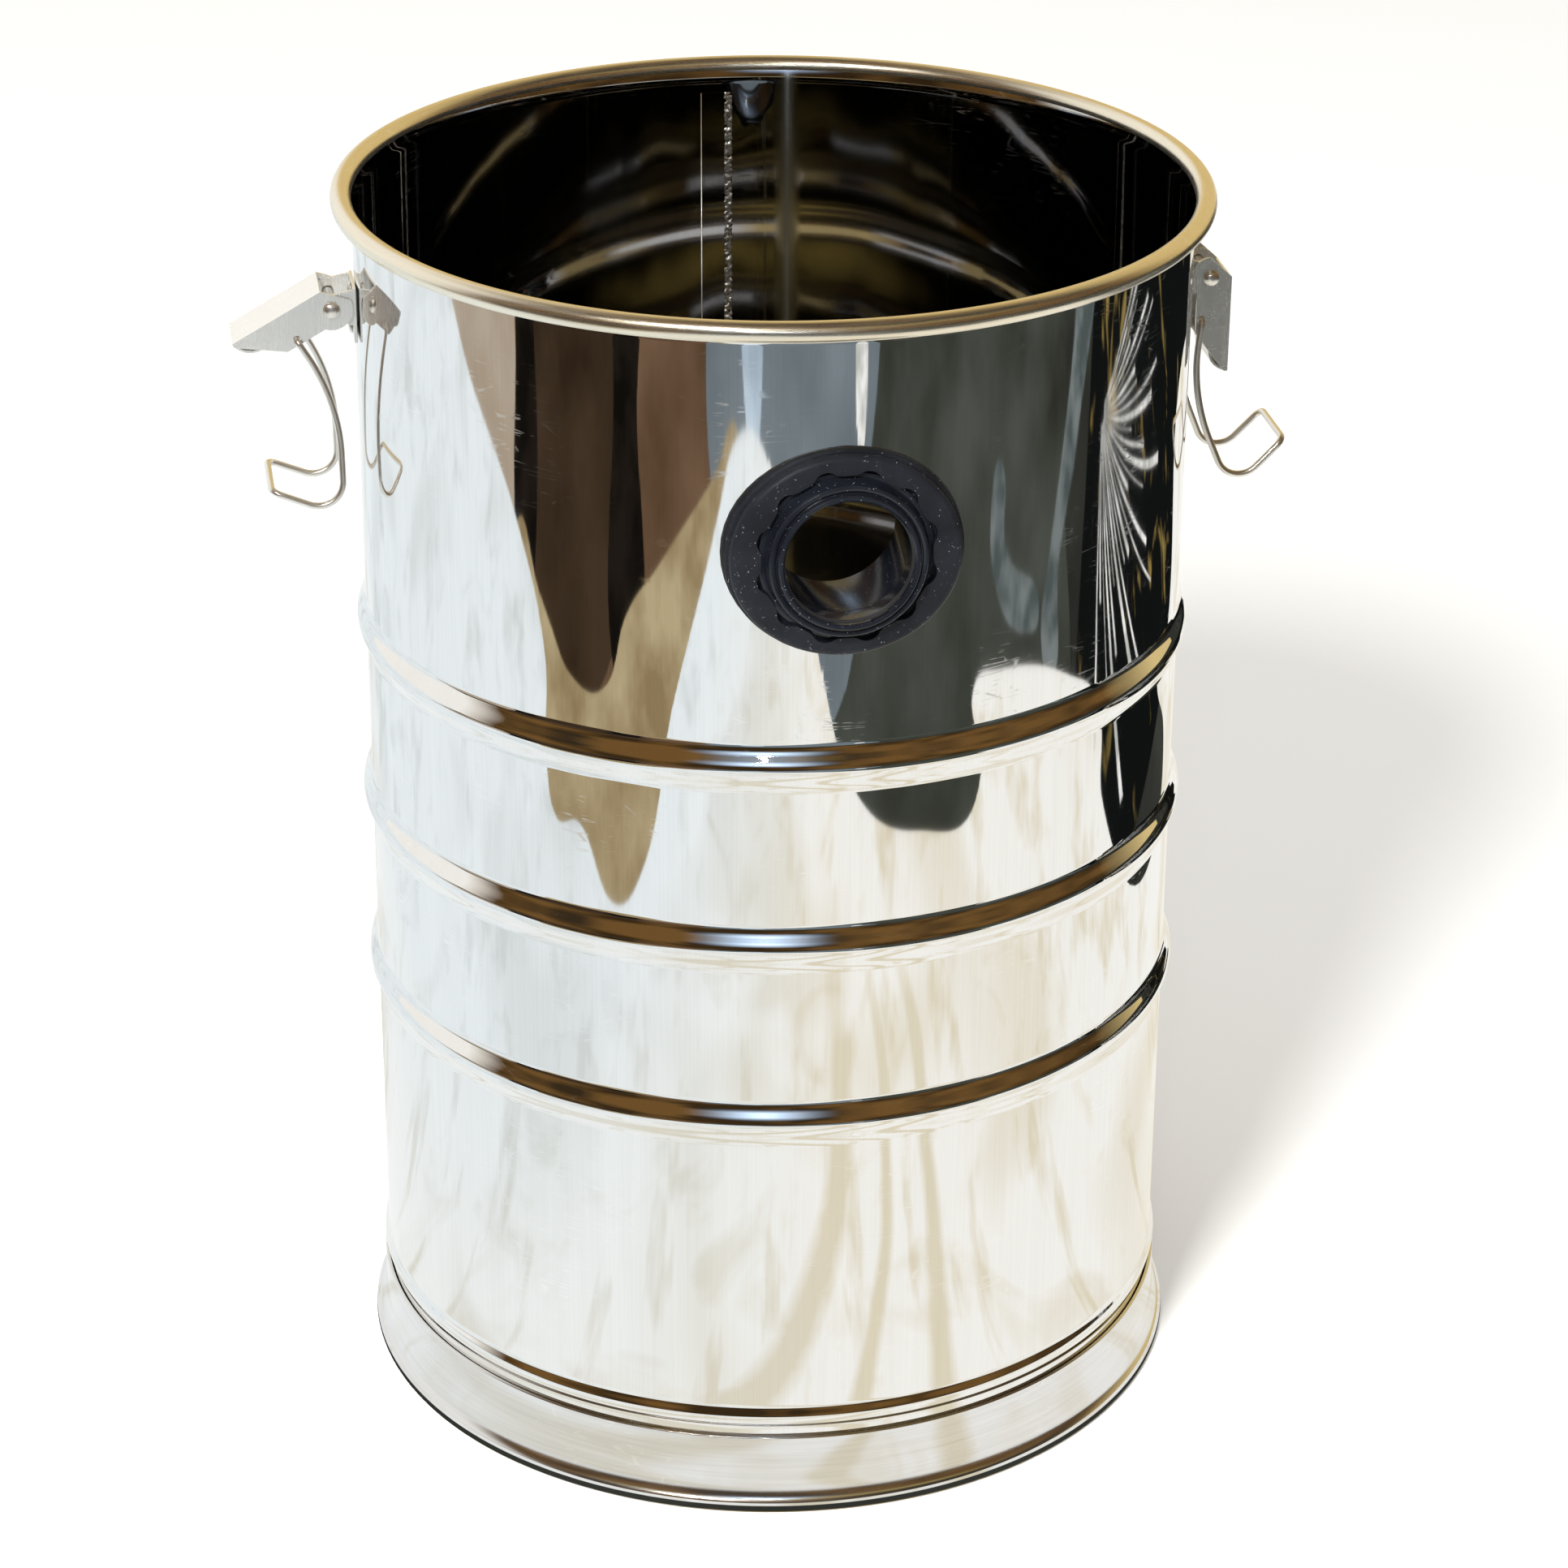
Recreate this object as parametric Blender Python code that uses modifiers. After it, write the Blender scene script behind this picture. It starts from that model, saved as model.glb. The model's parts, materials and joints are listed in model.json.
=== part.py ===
"""Stainless collecting drum of an industrial vacuum, with a hose inlet and two over-centre latches.

Metres, +Z up. The drum's axis is x = y = 0 and z = 0 is the top face of its floor.
The hose inlet faces -Y, the open latch is at -X and the closed one at +X.
"""

import bmesh
import bpy
import math
from mathutils import Matrix, Vector

# Clearances
gap = 0.0003  # between pieces that touch
slide_gap = 0.0004  # between the lever's cheeks and the bracket's ears

# Drum; heights are above the ground under the foot ring
drum_radius = 0.205
sheet = 0.0010
drum_height = 0.632
drum_sides = 48
wall_foot_height = 0.018
floor_height = 0.046
rib_count = 3
top_rib_drop = 0.222  # top of the rim down to the top rib's crest
rib_pitch = 0.0949
rib_width = 0.025
rib_rise = 0.0044
bead_gap = 0.0035  # foot ring's top to the small bead above it
bead_width = 0.014
bead_rise = 0.0022
rim_roll_radius = 0.0051
rim_reach = 0.0101  # outside of the rolled rim beyond the wall
rim_lean_height = 0.0050  # the wall leans out into the roll over this height, up to its centre

# Floor pan
floor_sheet = 0.0012
floor_flange = 0.013
floor_edge_radius = 0.003

# Foot ring
ring_top_height = 0.0415
ring_sheet = 0.0020
ring_foot_reach = 0.0058  # outside of the foot beyond the ring's upper part
ring_inner_shelf = 0.0035  # how far the shelf reaches in under the wall
ring_lip_height = 0.0045
ring_lip_round = 0.0006
ring_cove_height = 0.0135

# Hose inlet; its axis runs along -Y. Reaches are measured from the drum wall, widths from the bore outwards
inlet_drop = 0.113  # top of the rim down to the inlet's axis
hose_bore_radius = 0.030
cuff_draft = 0.0004  # the mouth opens this much behind the seal
tube_clearance = 0.0010  # the tube's bore is this much wider than the mouth
tube_wall = 0.0024
tube_reach_in = 0.040
mouth_length = 0.012
mouth_run_out = 0.002
collar_reach = 0.016
collar_lip_width = 0.0030
collar_width = 0.0069
collar_draft = 0.0014
collar_shoulder_drop = 0.0022
collar_round = 0.0011
lip_round = 0.0008
disc_width = 0.0110
disc_sheet = 0.0016
saddle_reach = 0.008
saddle_rim_width = 0.0072  # recess to the flange's upper and lower edge
saddle_stretch = 0.0053  # the flange is this much wider than high, on each side
saddle_edge_radius = 0.0030
saddle_step = 0.0012
saddle_nib = 0.0004
recess_margin = 0.0020  # round the socket's disc
recess_lobe = 0.0016
recess_lobes = 12
recess_drop = 0.0043
gasket_sheet = 0.0010
gasket_margin = 0.0008
wall_hole_clearance = 0.0025
seal_lip = 0.0007
seal_waist = 0.0001  # half the flat between the seal's two lips
seal_width = 0.0038
seal_groove = 0.0014
seal_setback = 0.0026
notch_width = 0.009
notch_angle = math.radians(118)
wedge_width = 0.0096
wedge_edge = 0.0016
locknut_width = 0.0106
locknut_sheet = 0.0065
locknut_lobe = 0.0014
locknut_clearance = 0.0004
cut_margin = 0.015  # how far a cutter stands past what it cuts

# Latches; outward is away from the wall and lateral is along the wall
latch_drops = {"left": 0.052, "right": 0.057}  # top of the rim down to each pivot
latch_azimuths = {"left": math.pi, "right": 0.0}
lever_rests = {"left": math.radians(60.5), "right": 0.0}
hook_rests = {"left": math.radians(-83.5), "right": 0.0}  # measured from the lever
lever_wall_gap = 0.0019  # closed lever's round end to the drum wall
lever_half_width = 0.0155
lever_sheet = 0.0012
lever_end_radius = 0.0105
lever_length = 0.0495
lever_wall_edge = 0.0070
lever_slant_start = 0.0290
lever_tip_depth = 0.0020
lever_lip_length = 0.0140
lever_lip_bulge = 0.0024
lever_shoulder_in = 0.0010  # how far past the pivot the straight shoulder reaches
wire_radius = 0.0017
wire_hole_down = 0.0220
wire_hole_in = 0.0041
hook_upper_straight = 0.010
hook_upper_radius = 0.100
hook_upper_turn = math.radians(30)
hook_lower_straight = 0.013
hook_bend_radius = 0.012
hook_bend_turn = math.radians(113)
hook_toe_straight = 0.0145
hook_corner_radius = 0.0050
hook_eye_round = 0.0005  # inside radius of the bend at each eye
hook_end_length = 0.0035
hook_start_heading = math.radians(-97.5)
hook_splay = 0.0045  # each leg stands this much wider at the toe than at its eye
bracket_sheet = 0.0015
bracket_up = 0.0095
bracket_down = 0.0180
ear_half_root = 0.0090
ear_root_step = 0.0008
ear_end_radius = 0.0068
pin_radius = 0.0025
pin_head_radius = 0.0041
pin_head_height = 0.0026
rivet_levels = {"upper": 0.0050, "lower": -0.0140}  # bracket rivets, above the pivot
rivet_radius = 0.0020
rivet_head_radius = 0.0036
rivet_head_height = 0.0016

# Worked out from the sizes above
rib_heights = [drum_height - top_rib_drop - rib_pitch * step for step in range(rib_count)][::-1]
bead_height = ring_top_height + bead_gap + bead_width / 2
inlet_height = drum_height - inlet_drop
collar_depth = drum_radius + collar_reach  # depths along the inlet are measured from the drum's axis
saddle_depth = drum_radius + saddle_reach
tube_inner_depth = drum_radius - tube_reach_in
tube_outer_radius = hose_bore_radius + tube_clearance + tube_wall
wall_hole_radius = tube_outer_radius + wall_hole_clearance
collar_lip_radius = hose_bore_radius + collar_lip_width
collar_radius = hose_bore_radius + collar_width
disc_radius = hose_bore_radius + disc_width
recess_radius = disc_radius + recess_margin
saddle_half_height = recess_radius + saddle_rim_width
saddle_half_width = saddle_half_height + saddle_stretch
wedge_radius = tube_outer_radius + wedge_width
locknut_radius = tube_outer_radius + locknut_width
pivot_reach = lever_end_radius + lever_wall_gap
lever_inside = lever_half_width - lever_sheet
ear_half_width = lever_inside - slide_gap


def up(height):
    """Height above the ground, as a z of the frame."""
    return height - floor_height


def clear_scene():
    for thing in list(bpy.data.objects):
        bpy.data.objects.remove(thing, do_unlink=True)


def new_collection(name):
    collection = bpy.data.collections.new(name)
    bpy.context.scene.collection.children.link(collection)
    return collection


def new_material(name, colour, roughness, metallic):
    material = bpy.data.materials.new(name)
    material.use_nodes = True
    shader = material.node_tree.nodes["Principled BSDF"]
    shader.inputs["Base Color"].default_value = (*colour, 1.0)
    shader.inputs["Roughness"].default_value = roughness
    shader.inputs["Metallic"].default_value = metallic
    material.diffuse_color = (*colour, 1.0)
    return material


clear_scene()
parts = new_collection("vacuum_drum")
cutters = new_collection("cutters")
polished_steel = new_material("polished_steel", (0.78, 0.77, 0.75), 0.08, 1.0)
satin_steel = new_material("satin_steel", (0.70, 0.70, 0.69), 0.30, 1.0)
bright_steel = new_material("bright_steel", (0.74, 0.73, 0.70), 0.18, 1.0)
black_plastic = new_material("black_plastic", (0.018, 0.020, 0.024), 0.38, 0.0)
black_rubber = new_material("black_rubber", (0.012, 0.012, 0.013), 0.55, 0.0)


# Helpers


def add_part(name, mesh, material, parent=None):
    part = bpy.data.objects.new(name, mesh)
    part.data.materials.clear()
    part.data.materials.append(material)
    part.data.shade_smooth()
    part.data.set_sharp_from_angle(angle=math.radians(30))
    part.parent = parent
    parts.objects.link(part)
    return part


def add_cutter(name, mesh, parent=None):
    cutter = bpy.data.objects.new(name, mesh)
    cutter.parent = parent
    cutter.hide_render = True
    cutter.display_type = "WIRE"
    cutters.objects.link(cutter)
    return cutter


def add_empty(name, location, rotation=(0, 0, 0), parent=None):
    empty = bpy.data.objects.new(name, None)
    empty.location = location
    empty.rotation_euler = rotation
    empty.parent = parent
    parts.objects.link(empty)
    return empty


def boolean(part, cutter, operation="DIFFERENCE"):
    modifier = part.modifiers.new(f"{operation.lower()} {cutter.name}", "BOOLEAN")
    modifier.operation = operation
    modifier.object = cutter
    modifier.solver = "EXACT"


def arc(centre, radius, start, end, steps):
    """Points on an arc in a profile's plane, angles in degrees, both ends included."""
    angles = [math.radians(start + (end - start) * i / steps) for i in range(steps + 1)]
    return [(centre[0] + radius * math.cos(a), centre[1] + radius * math.sin(a)) for a in angles]


def profile_mesh(name, points, closed):
    """A (radius, height) profile as an edge chain, ready for a Screw modifier."""
    mesh = bpy.data.meshes.new(name)
    chain = bmesh.new()
    verts = [chain.verts.new((r, 0.0, z)) for r, z in points]
    pairs = list(zip(verts, verts[1:]))
    if closed:
        pairs.append((verts[-1], verts[0]))
    for first, second in pairs:
        chain.edges.new((first, second))
    chain.to_mesh(mesh)
    chain.free()
    return mesh


def turn(thing, steps):
    """Spins an object's profile about its own Z axis."""
    screw = thing.modifiers.new("turn", "SCREW")
    screw.axis = "Z"
    screw.steps = steps
    screw.render_steps = steps
    screw.use_smooth_shade = True
    screw.use_merge_vertices = True
    screw.merge_threshold = 0.00001


def rod_mesh(name, radius, start, end, sides):
    """A solid cylinder along Z between two heights."""
    mesh = bpy.data.meshes.new(name)
    rod = bmesh.new()
    place = Matrix.Translation((0, 0, (start + end) / 2))
    bmesh.ops.create_cone(
        rod, cap_ends=True, segments=sides, radius1=radius, radius2=radius,
        depth=end - start, matrix=place,
    )
    rod.to_mesh(mesh)
    rod.free()
    return mesh


def box_mesh(name, low, high):
    mesh = bpy.data.meshes.new(name)
    box = bmesh.new()
    size = [b - a for a, b in zip(low, high)]
    centre = [(a + b) / 2 for a, b in zip(low, high)]
    bmesh.ops.create_cube(box, size=1.0, matrix=Matrix.Translation(centre) @ Matrix.Diagonal((*size, 1)))
    box.to_mesh(mesh)
    box.free()
    return mesh


def curve_to_mesh(curve, name):
    """The welded mesh of a curve, whose caps come loose from its sides."""
    guide = bpy.data.objects.new(name + "_guide", curve)
    bpy.context.scene.collection.objects.link(guide)
    graph = bpy.context.evaluated_depsgraph_get()
    mesh = bpy.data.meshes.new_from_object(guide.evaluated_get(graph))
    bpy.data.objects.remove(guide, do_unlink=True)
    weld = bmesh.new()
    weld.from_mesh(mesh)
    bmesh.ops.remove_doubles(weld, verts=weld.verts, dist=0.000002)
    bmesh.ops.recalc_face_normals(weld, faces=weld.faces)
    weld.to_mesh(mesh)
    weld.free()
    mesh.name = name
    return mesh


def plate_mesh(name, outline, half_thickness):
    """A flat outline in the XY plane, given thickness along Z on both sides."""
    curve = bpy.data.curves.new(name, "CURVE")
    curve.dimensions = "2D"
    curve.fill_mode = "BOTH"
    curve.extrude = half_thickness
    spline = curve.splines.new("POLY")
    spline.points.add(len(outline) - 1)
    for point, (x, y) in zip(spline.points, outline):
        point.co = (x, y, 0, 1)
    spline.use_cyclic_u = True
    return curve_to_mesh(curve, name)


def wire_mesh(name, points, radius):
    curve = bpy.data.curves.new(name, "CURVE")
    curve.dimensions = "3D"
    curve.bevel_depth = radius
    curve.bevel_resolution = 2
    curve.use_fill_caps = True
    spline = curve.splines.new("POLY")
    spline.points.add(len(points) - 1)
    for point, place in zip(spline.points, points):
        point.co = (*place, 1)
    return curve_to_mesh(curve, name)


def dome(height, radius, base, sign, steps=3):
    """Half a rivet head's outline, from its rim to its crown on the axis."""
    angles = [math.pi / 2 * i / steps for i in range(steps + 1)]
    return [(radius * math.cos(a), base + sign * height * math.sin(a)) for a in angles]


def rivet_profile(shank, head_radius, head_height, bottom, top):
    """A rivet with a domed head at each end of its grip, listed from the top down."""
    upper = dome(head_height, head_radius, top, 1)[::-1]
    lower = dome(head_height, head_radius, bottom, -1)
    return upper + [(shank, top), (shank, bottom)] + lower


# Drum


def bead_rise_at(height, centre, width, rise):
    """Outward rise of a rolled bead, a smooth wave that is flat at both edges."""
    offset = abs(height - centre)
    if offset >= width / 2:
        return 0.0
    return rise * (1 + math.cos(2 * math.pi * offset / width)) / 2


def wall_stations():
    """Heights at which the wall's profile needs a point, from the bottom up."""
    heights = [wall_foot_height]
    for centre, width in [(bead_height, bead_width)] + [(z, rib_width) for z in rib_heights]:
        heights += [centre + width * share for share in (-0.5, -0.3, -0.12, 0.12, 0.3, 0.5)]
    return heights


def wall_radius(height):
    """Outside radius of the sheet below the rim."""
    rise = bead_rise_at(height, bead_height, bead_width, bead_rise)
    for centre in rib_heights:
        rise += bead_rise_at(height, centre, rib_width, rib_rise)
    return drum_radius + rise


def shell_profile():
    """Closed section of the drum: up the inside, over the rolled rim, down the outside."""
    roll_r = drum_radius + rim_reach - rim_roll_radius
    roll_z = drum_height - rim_roll_radius
    lean_base = roll_z - rim_lean_height
    heights = wall_stations()
    inside = [(wall_radius(z) - sheet, up(z)) for z in heights]
    outside = [(wall_radius(z), up(z)) for z in reversed(heights)]
    inside.append((drum_radius - sheet, up(lean_base)))
    over = arc((roll_r, up(roll_z)), rim_roll_radius, 180, -130, 9)
    outside.insert(0, (drum_radius, up(lean_base - sheet)))
    return inside + over + outside


def make_shell():
    # The chain runs anticlockwise in the (radius, height) plane once reversed, so the turned skin faces out
    shell = add_part("drum_shell", profile_mesh("drum_shell", shell_profile()[::-1], True), polished_steel)
    turn(shell, drum_sides)
    boolean(shell, inlet_drill("shell_hole_cut", wall_hole_radius))
    for side in latch_azimuths:
        for level, rise in rivet_levels.items():
            name = f"{side}_{level}_wall_cut"
            boolean(shell, add_cutter(name, rivet_hole_mesh(name, rise), latch_mounts[side]))
    return shell


def make_floor():
    """A shallow pan, turned down round its edge and spot-welded inside the wall."""
    radius = drum_radius - sheet - gap
    mesh = bpy.data.meshes.new("drum_floor")
    pan = bmesh.new()
    bmesh.ops.create_circle(pan, cap_ends=True, segments=drum_sides, radius=radius)
    rim = [edge for edge in pan.edges if edge.is_boundary]
    skirt = bmesh.ops.extrude_edge_only(pan, edges=rim)["geom"]
    lowered = [item for item in skirt if isinstance(item, bmesh.types.BMVert)]
    bmesh.ops.translate(pan, verts=lowered, vec=(0, 0, -floor_flange))
    bmesh.ops.recalc_face_normals(pan, faces=pan.faces)
    if next(face for face in pan.faces if len(face.verts) > 4).normal.z < 0:
        bmesh.ops.reverse_faces(pan, faces=pan.faces)
    edge_ring = [e for e in pan.edges if all(abs(v.co.z) < 1e-6 for v in e.verts)]
    bmesh.ops.bevel(
        pan, geom=edge_ring, offset=floor_edge_radius, segments=2, profile=0.5, affect="EDGES",
    )
    pan.to_mesh(mesh)
    pan.free()
    floor = add_part("drum_floor", mesh, polished_steel)
    thick = floor.modifiers.new("sheet", "SOLIDIFY")
    thick.thickness = floor_sheet
    thick.offset = -1
    thick.use_even_offset = True


def ring_profile():
    """Closed section of the foot ring: a sleeve round the wall, a shelf under it and a coved foot."""
    inner = drum_radius + gap
    outer = inner + ring_sheet
    foot = outer + ring_foot_reach
    shelf_r = drum_radius - ring_inner_shelf
    shelf_z = wall_foot_height - gap
    half = ring_sheet / 2
    cove_steps = 4
    cove = []
    for turned in [math.pi / 2 * i / cove_steps for i in range(cove_steps + 1)]:
        out = ring_foot_reach * (1 - math.cos(turned))
        cove.append((outer + out, ring_lip_height + ring_cove_height * (1 - math.sin(turned))))
    lip = [(foot, ring_lip_height / 2), (foot - ring_lip_round, ring_lip_round)]
    lip.append((foot - 2 * ring_lip_round, 0.0))
    inside = [(shelf_r, 0.0), (shelf_r, shelf_z), (inner, shelf_z), (inner, ring_top_height - half)]
    top = arc((inner + half, ring_top_height - half), half, 180, 0, 4)[1:-1]
    outside = [(outer, ring_top_height - half)]
    chain = outside + cove + lip + inside + top
    return [(r, up(z)) for r, z in chain]


def make_foot_ring():
    ring = add_part("foot_ring", profile_mesh("foot_ring", ring_profile(), True), satin_steel)
    turn(ring, drum_sides)


# Hose inlet
# In the inlet's own frame +Z is its outward axis, so a height there is a depth from the drum's axis.


def inlet_drill(name, radius):
    """A drill on the inlet's axis, through everything on the front wall."""
    mesh = rod_mesh(name, radius, tube_inner_depth - cut_margin, collar_depth + cut_margin, 36)
    return add_cutter(name, mesh, inlet)


def seat_depth():
    """Depth of the recess floor in the saddle."""
    return saddle_depth - recess_drop


def drum_core(name, radius):
    """A solid cylinder on the drum's axis, with the wall's own facets."""
    half = saddle_half_height + cut_margin
    mesh = rod_mesh(name, radius, up(inlet_height) - half, up(inlet_height) + half, drum_sides)
    # create_cone starts its facets half a step round from a turned profile's
    first = mesh.vertices[0].co
    mesh.transform(Matrix.Rotation(-math.atan2(first.y, first.x), 4, "Z"))
    return add_cutter(name, mesh)


def lobed_outline(radius, lobe, lobes, steps):
    """A circle whose rim dips in once a lobe, with a dip on the axis that points up."""
    outline = []
    squareness = 1.6  # how quickly a lobe turns into a dip
    for i in range(lobes * steps):
        angle = 2 * math.pi * i / (lobes * steps)
        dip = math.cos(lobes * (angle - math.pi / 2))
        reach = radius - lobe * math.tanh(squareness * dip) / math.tanh(squareness)
        outline.append((reach * math.cos(angle), reach * math.sin(angle)))
    return outline


def make_saddle():
    """The moulded oval flange that carries the inlet and fits the drum's curve."""
    edge = saddle_edge_radius
    r_front = saddle_half_height - saddle_step
    round_edge = arc((r_front - edge, saddle_depth - edge), edge, 90, 0, 4)
    step_z = saddle_depth - 2.2 * edge
    back = math.sqrt(drum_radius**2 - saddle_half_width**2) - cut_margin / 3
    profile = [(0.0, saddle_depth)] + round_edge
    profile += [(r_front, step_z), (saddle_half_height - saddle_nib, step_z - saddle_nib)]
    profile += [(saddle_half_height, step_z - saddle_step), (saddle_half_height, back), (0.0, back)]
    mesh = profile_mesh("inlet_saddle", profile, False)
    saddle = add_part("inlet_saddle", mesh, black_plastic, inlet)
    turn(saddle, 48)
    saddle.scale = (saddle_half_width / saddle_half_height, 1, 1)
    boolean(saddle, drum_core("saddle_drum_cut", drum_radius + 2 * gap + gasket_sheet))
    recess = plate_mesh(
        "saddle_recess_cut", lobed_outline(recess_radius, recess_lobe, recess_lobes, 6), recess_drop,
    )
    recess.transform(Matrix.Translation((0, 0, saddle_depth)))
    boolean(saddle, add_cutter("saddle_recess_cut", recess, inlet))
    boolean(saddle, inlet_drill("saddle_bore_cut", tube_outer_radius + gap))


def make_gasket():
    """A thin rubber gasket between the saddle and the wall."""
    inner = drum_radius + gap
    outer = inner + gasket_sheet
    half = saddle_half_height + cut_margin
    section = [
        (outer, up(inlet_height) + half), (outer, up(inlet_height) - half),
        (inner, up(inlet_height) - half), (inner, up(inlet_height) + half),
    ]
    gasket = add_part("inlet_gasket", profile_mesh("inlet_gasket", section, True), black_rubber)
    turn(gasket, drum_sides)
    blank_radius = saddle_half_height + gasket_margin
    low, high = tube_inner_depth - cut_margin, collar_depth + cut_margin
    blank = rod_mesh("gasket_oval", blank_radius, low, high, 48)
    stretch = (saddle_half_width + gasket_margin) / blank_radius
    blank.transform(Matrix.Diagonal((stretch, 1, 1, 1)))
    boolean(gasket, add_cutter("gasket_oval", blank, inlet), "INTERSECT")
    boolean(gasket, inlet_drill("gasket_hole_cut", wall_hole_radius + gasket_margin))


def socket_outside():
    """The socket's outer profile, from the collar's lip over the disc to the tube's inner end."""
    disc_back = seat_depth() + gap
    disc_front = disc_back + disc_sheet
    shoulder_z = collar_depth - collar_shoulder_drop
    base_r = collar_radius + collar_draft
    groove_z = shoulder_z - collar_round
    profile = arc((collar_lip_radius - lip_round, collar_depth - lip_round), lip_round, 90, 0, 3)
    profile += [(collar_lip_radius, groove_z), (collar_lip_radius + collar_round, groove_z)]
    profile += arc((collar_radius - collar_round, shoulder_z - collar_round), collar_round, 90, 0, 3)
    profile += [(base_r - collar_draft / 2, disc_front + collar_round), (base_r, disc_front)]
    profile += [(disc_radius - saddle_nib, disc_front), (disc_radius, disc_front - saddle_nib)]
    profile += [(disc_radius, disc_back), (tube_outer_radius, disc_back)]
    return profile + [(tube_outer_radius, tube_inner_depth)]


def socket_inside():
    """The socket's inner profile, from the tube's inner end out through the seal's groove to the mouth."""
    tube_r = hose_bore_radius + tube_clearance
    mouth_r = hose_bore_radius + cuff_draft
    groove_r = hose_bore_radius + seal_groove
    seal_top = collar_depth - seal_setback
    seal_base = seal_top - seal_width
    profile = [(tube_r, tube_inner_depth), (tube_r, seal_base - mouth_length)]
    profile += [(mouth_r, seal_base - mouth_length + mouth_run_out), (mouth_r, seal_base)]
    profile += [(groove_r, seal_base), (groove_r, seal_top), (hose_bore_radius, seal_top)]
    profile.append((hose_bore_radius, collar_depth - lip_round))
    return profile + [(hose_bore_radius + lip_round, collar_depth)]


def make_socket():
    """The hose socket: stepped collar outside, disc in the saddle's recess, tube through the wall."""
    mesh = profile_mesh("inlet_socket", socket_outside() + socket_inside(), True)
    socket = add_part("inlet_socket", mesh, black_plastic, inlet)
    turn(socket, 36)
    for index in (0, 1):
        low = (-notch_width / 2, hose_bore_radius - seal_width, collar_depth - seal_setback - gap)
        high = (notch_width / 2, hose_bore_radius + seal_groove - gap, collar_depth + collar_round)
        notch = box_mesh(f"notch_cut_{index + 1}", low, high)
        notch.transform(Matrix.Rotation(notch_angle - math.pi / 2 + index * math.pi, 4, "Z"))
        boolean(socket, add_cutter(f"notch_cut_{index + 1}", notch, inlet))


def make_hose_seal():
    """A lipped rubber ring in the socket's groove, which grips the hose cuff."""
    outer = hose_bore_radius + seal_groove - gap
    inner = hose_bore_radius - seal_lip
    top = collar_depth - seal_setback - gap
    base = top - seal_width + 2 * gap
    middle = (top + base) / 2
    root = hose_bore_radius + gap
    waist = inner + seal_lip - seal_waist
    section = [(outer, top), (outer, base), (root, base), (inner, base + seal_lip)]
    section += [(waist, middle - seal_waist), (waist, middle + seal_waist)]
    section += [(inner, top - seal_lip), (root, top)]
    seal = add_part("hose_seal", profile_mesh("hose_seal", section, True), black_rubber, inlet)
    turn(seal, 36)


def nut_face_depth():
    """Depth of the locknut's face, where the wedge ring is thinnest at its sides."""
    inside = drum_radius - sheet - gap
    return math.sqrt(inside**2 - wedge_radius**2) - wedge_edge


def make_wedge_ring():
    """A rubber ring, flat towards the nut and curved to the inside of the wall."""
    bore = tube_outer_radius + gap
    base = nut_face_depth()
    top = drum_radius + cut_margin
    section = [(wedge_radius, top), (wedge_radius, base), (bore, base), (bore, top)]
    mesh = profile_mesh("inlet_wedge_ring", section, True)
    wedge = add_part("inlet_wedge_ring", mesh, black_rubber, inlet)
    turn(wedge, 36)
    boolean(wedge, drum_core("wedge_drum_trim", drum_radius - sheet - gap), "INTERSECT")


def make_locknut():
    """The lobed nut that pulls the socket against the wall from inside."""
    outline = lobed_outline(locknut_radius, locknut_lobe, recess_lobes, 6)
    mesh = plate_mesh("inlet_locknut", outline, locknut_sheet / 2)
    mesh.transform(Matrix.Translation((0, 0, nut_face_depth() - gap - locknut_sheet / 2)))
    nut = add_part("inlet_locknut", mesh, black_plastic, inlet)
    boolean(nut, inlet_drill("locknut_bore_cut", tube_outer_radius + locknut_clearance))


# Latches
# In a latch's own frame +X is outward from the wall, +Y is up and +Z is lateral.


def rivet_hole_mesh(name, rise):
    """A drill for one bracket rivet, through the bracket's base and the wall."""
    mesh = rod_mesh(name, rivet_radius + gap, -cut_margin / 2, cut_margin / 2, 12)
    mesh.transform(Matrix.Translation((-pivot_reach, rise, 0)) @ Matrix.Rotation(math.pi / 2, 4, "Y"))
    return mesh


def ear_outline():
    base = -pivot_reach + gap
    face = base + bracket_sheet
    root = face + ear_root_step
    lean = math.degrees(math.asin((ear_half_root - ear_end_radius) / -root))
    round_end = arc((0, 0), ear_end_radius, -90 - lean * 0.5, 90 + lean * 0.5, 10)
    outline = [(base, -bracket_down), (face, -bracket_down), (face, -ear_half_root)]
    outline += round_end
    outline += [(face, ear_half_root), (face, bracket_up), (base, bracket_up)]
    return outline


def make_bracket(side):
    mount = latch_mounts[side]
    name = f"{side}_latch_bracket"
    bracket = add_part(name, plate_mesh(name, ear_outline(), ear_half_width), satin_steel, mount)
    face = -pivot_reach + gap + bracket_sheet
    clear = ear_half_width - bracket_sheet
    tall = bracket_down + cut_margin
    pocket = box_mesh(name + "_pocket_cut", (face, -tall, -clear), (pivot_reach, tall, clear))
    boolean(bracket, add_cutter(name + "_pocket_cut", pocket, mount))
    pin_hole = rod_mesh(name + "_pin_cut", pin_radius + gap, -lever_half_width, lever_half_width, 16)
    boolean(bracket, add_cutter(name + "_pin_cut", pin_hole, mount))
    for level, rise in rivet_levels.items():
        cut = f"{side}_{level}_base_cut"
        boolean(bracket, add_cutter(cut, rivet_hole_mesh(cut, rise), mount))


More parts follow.
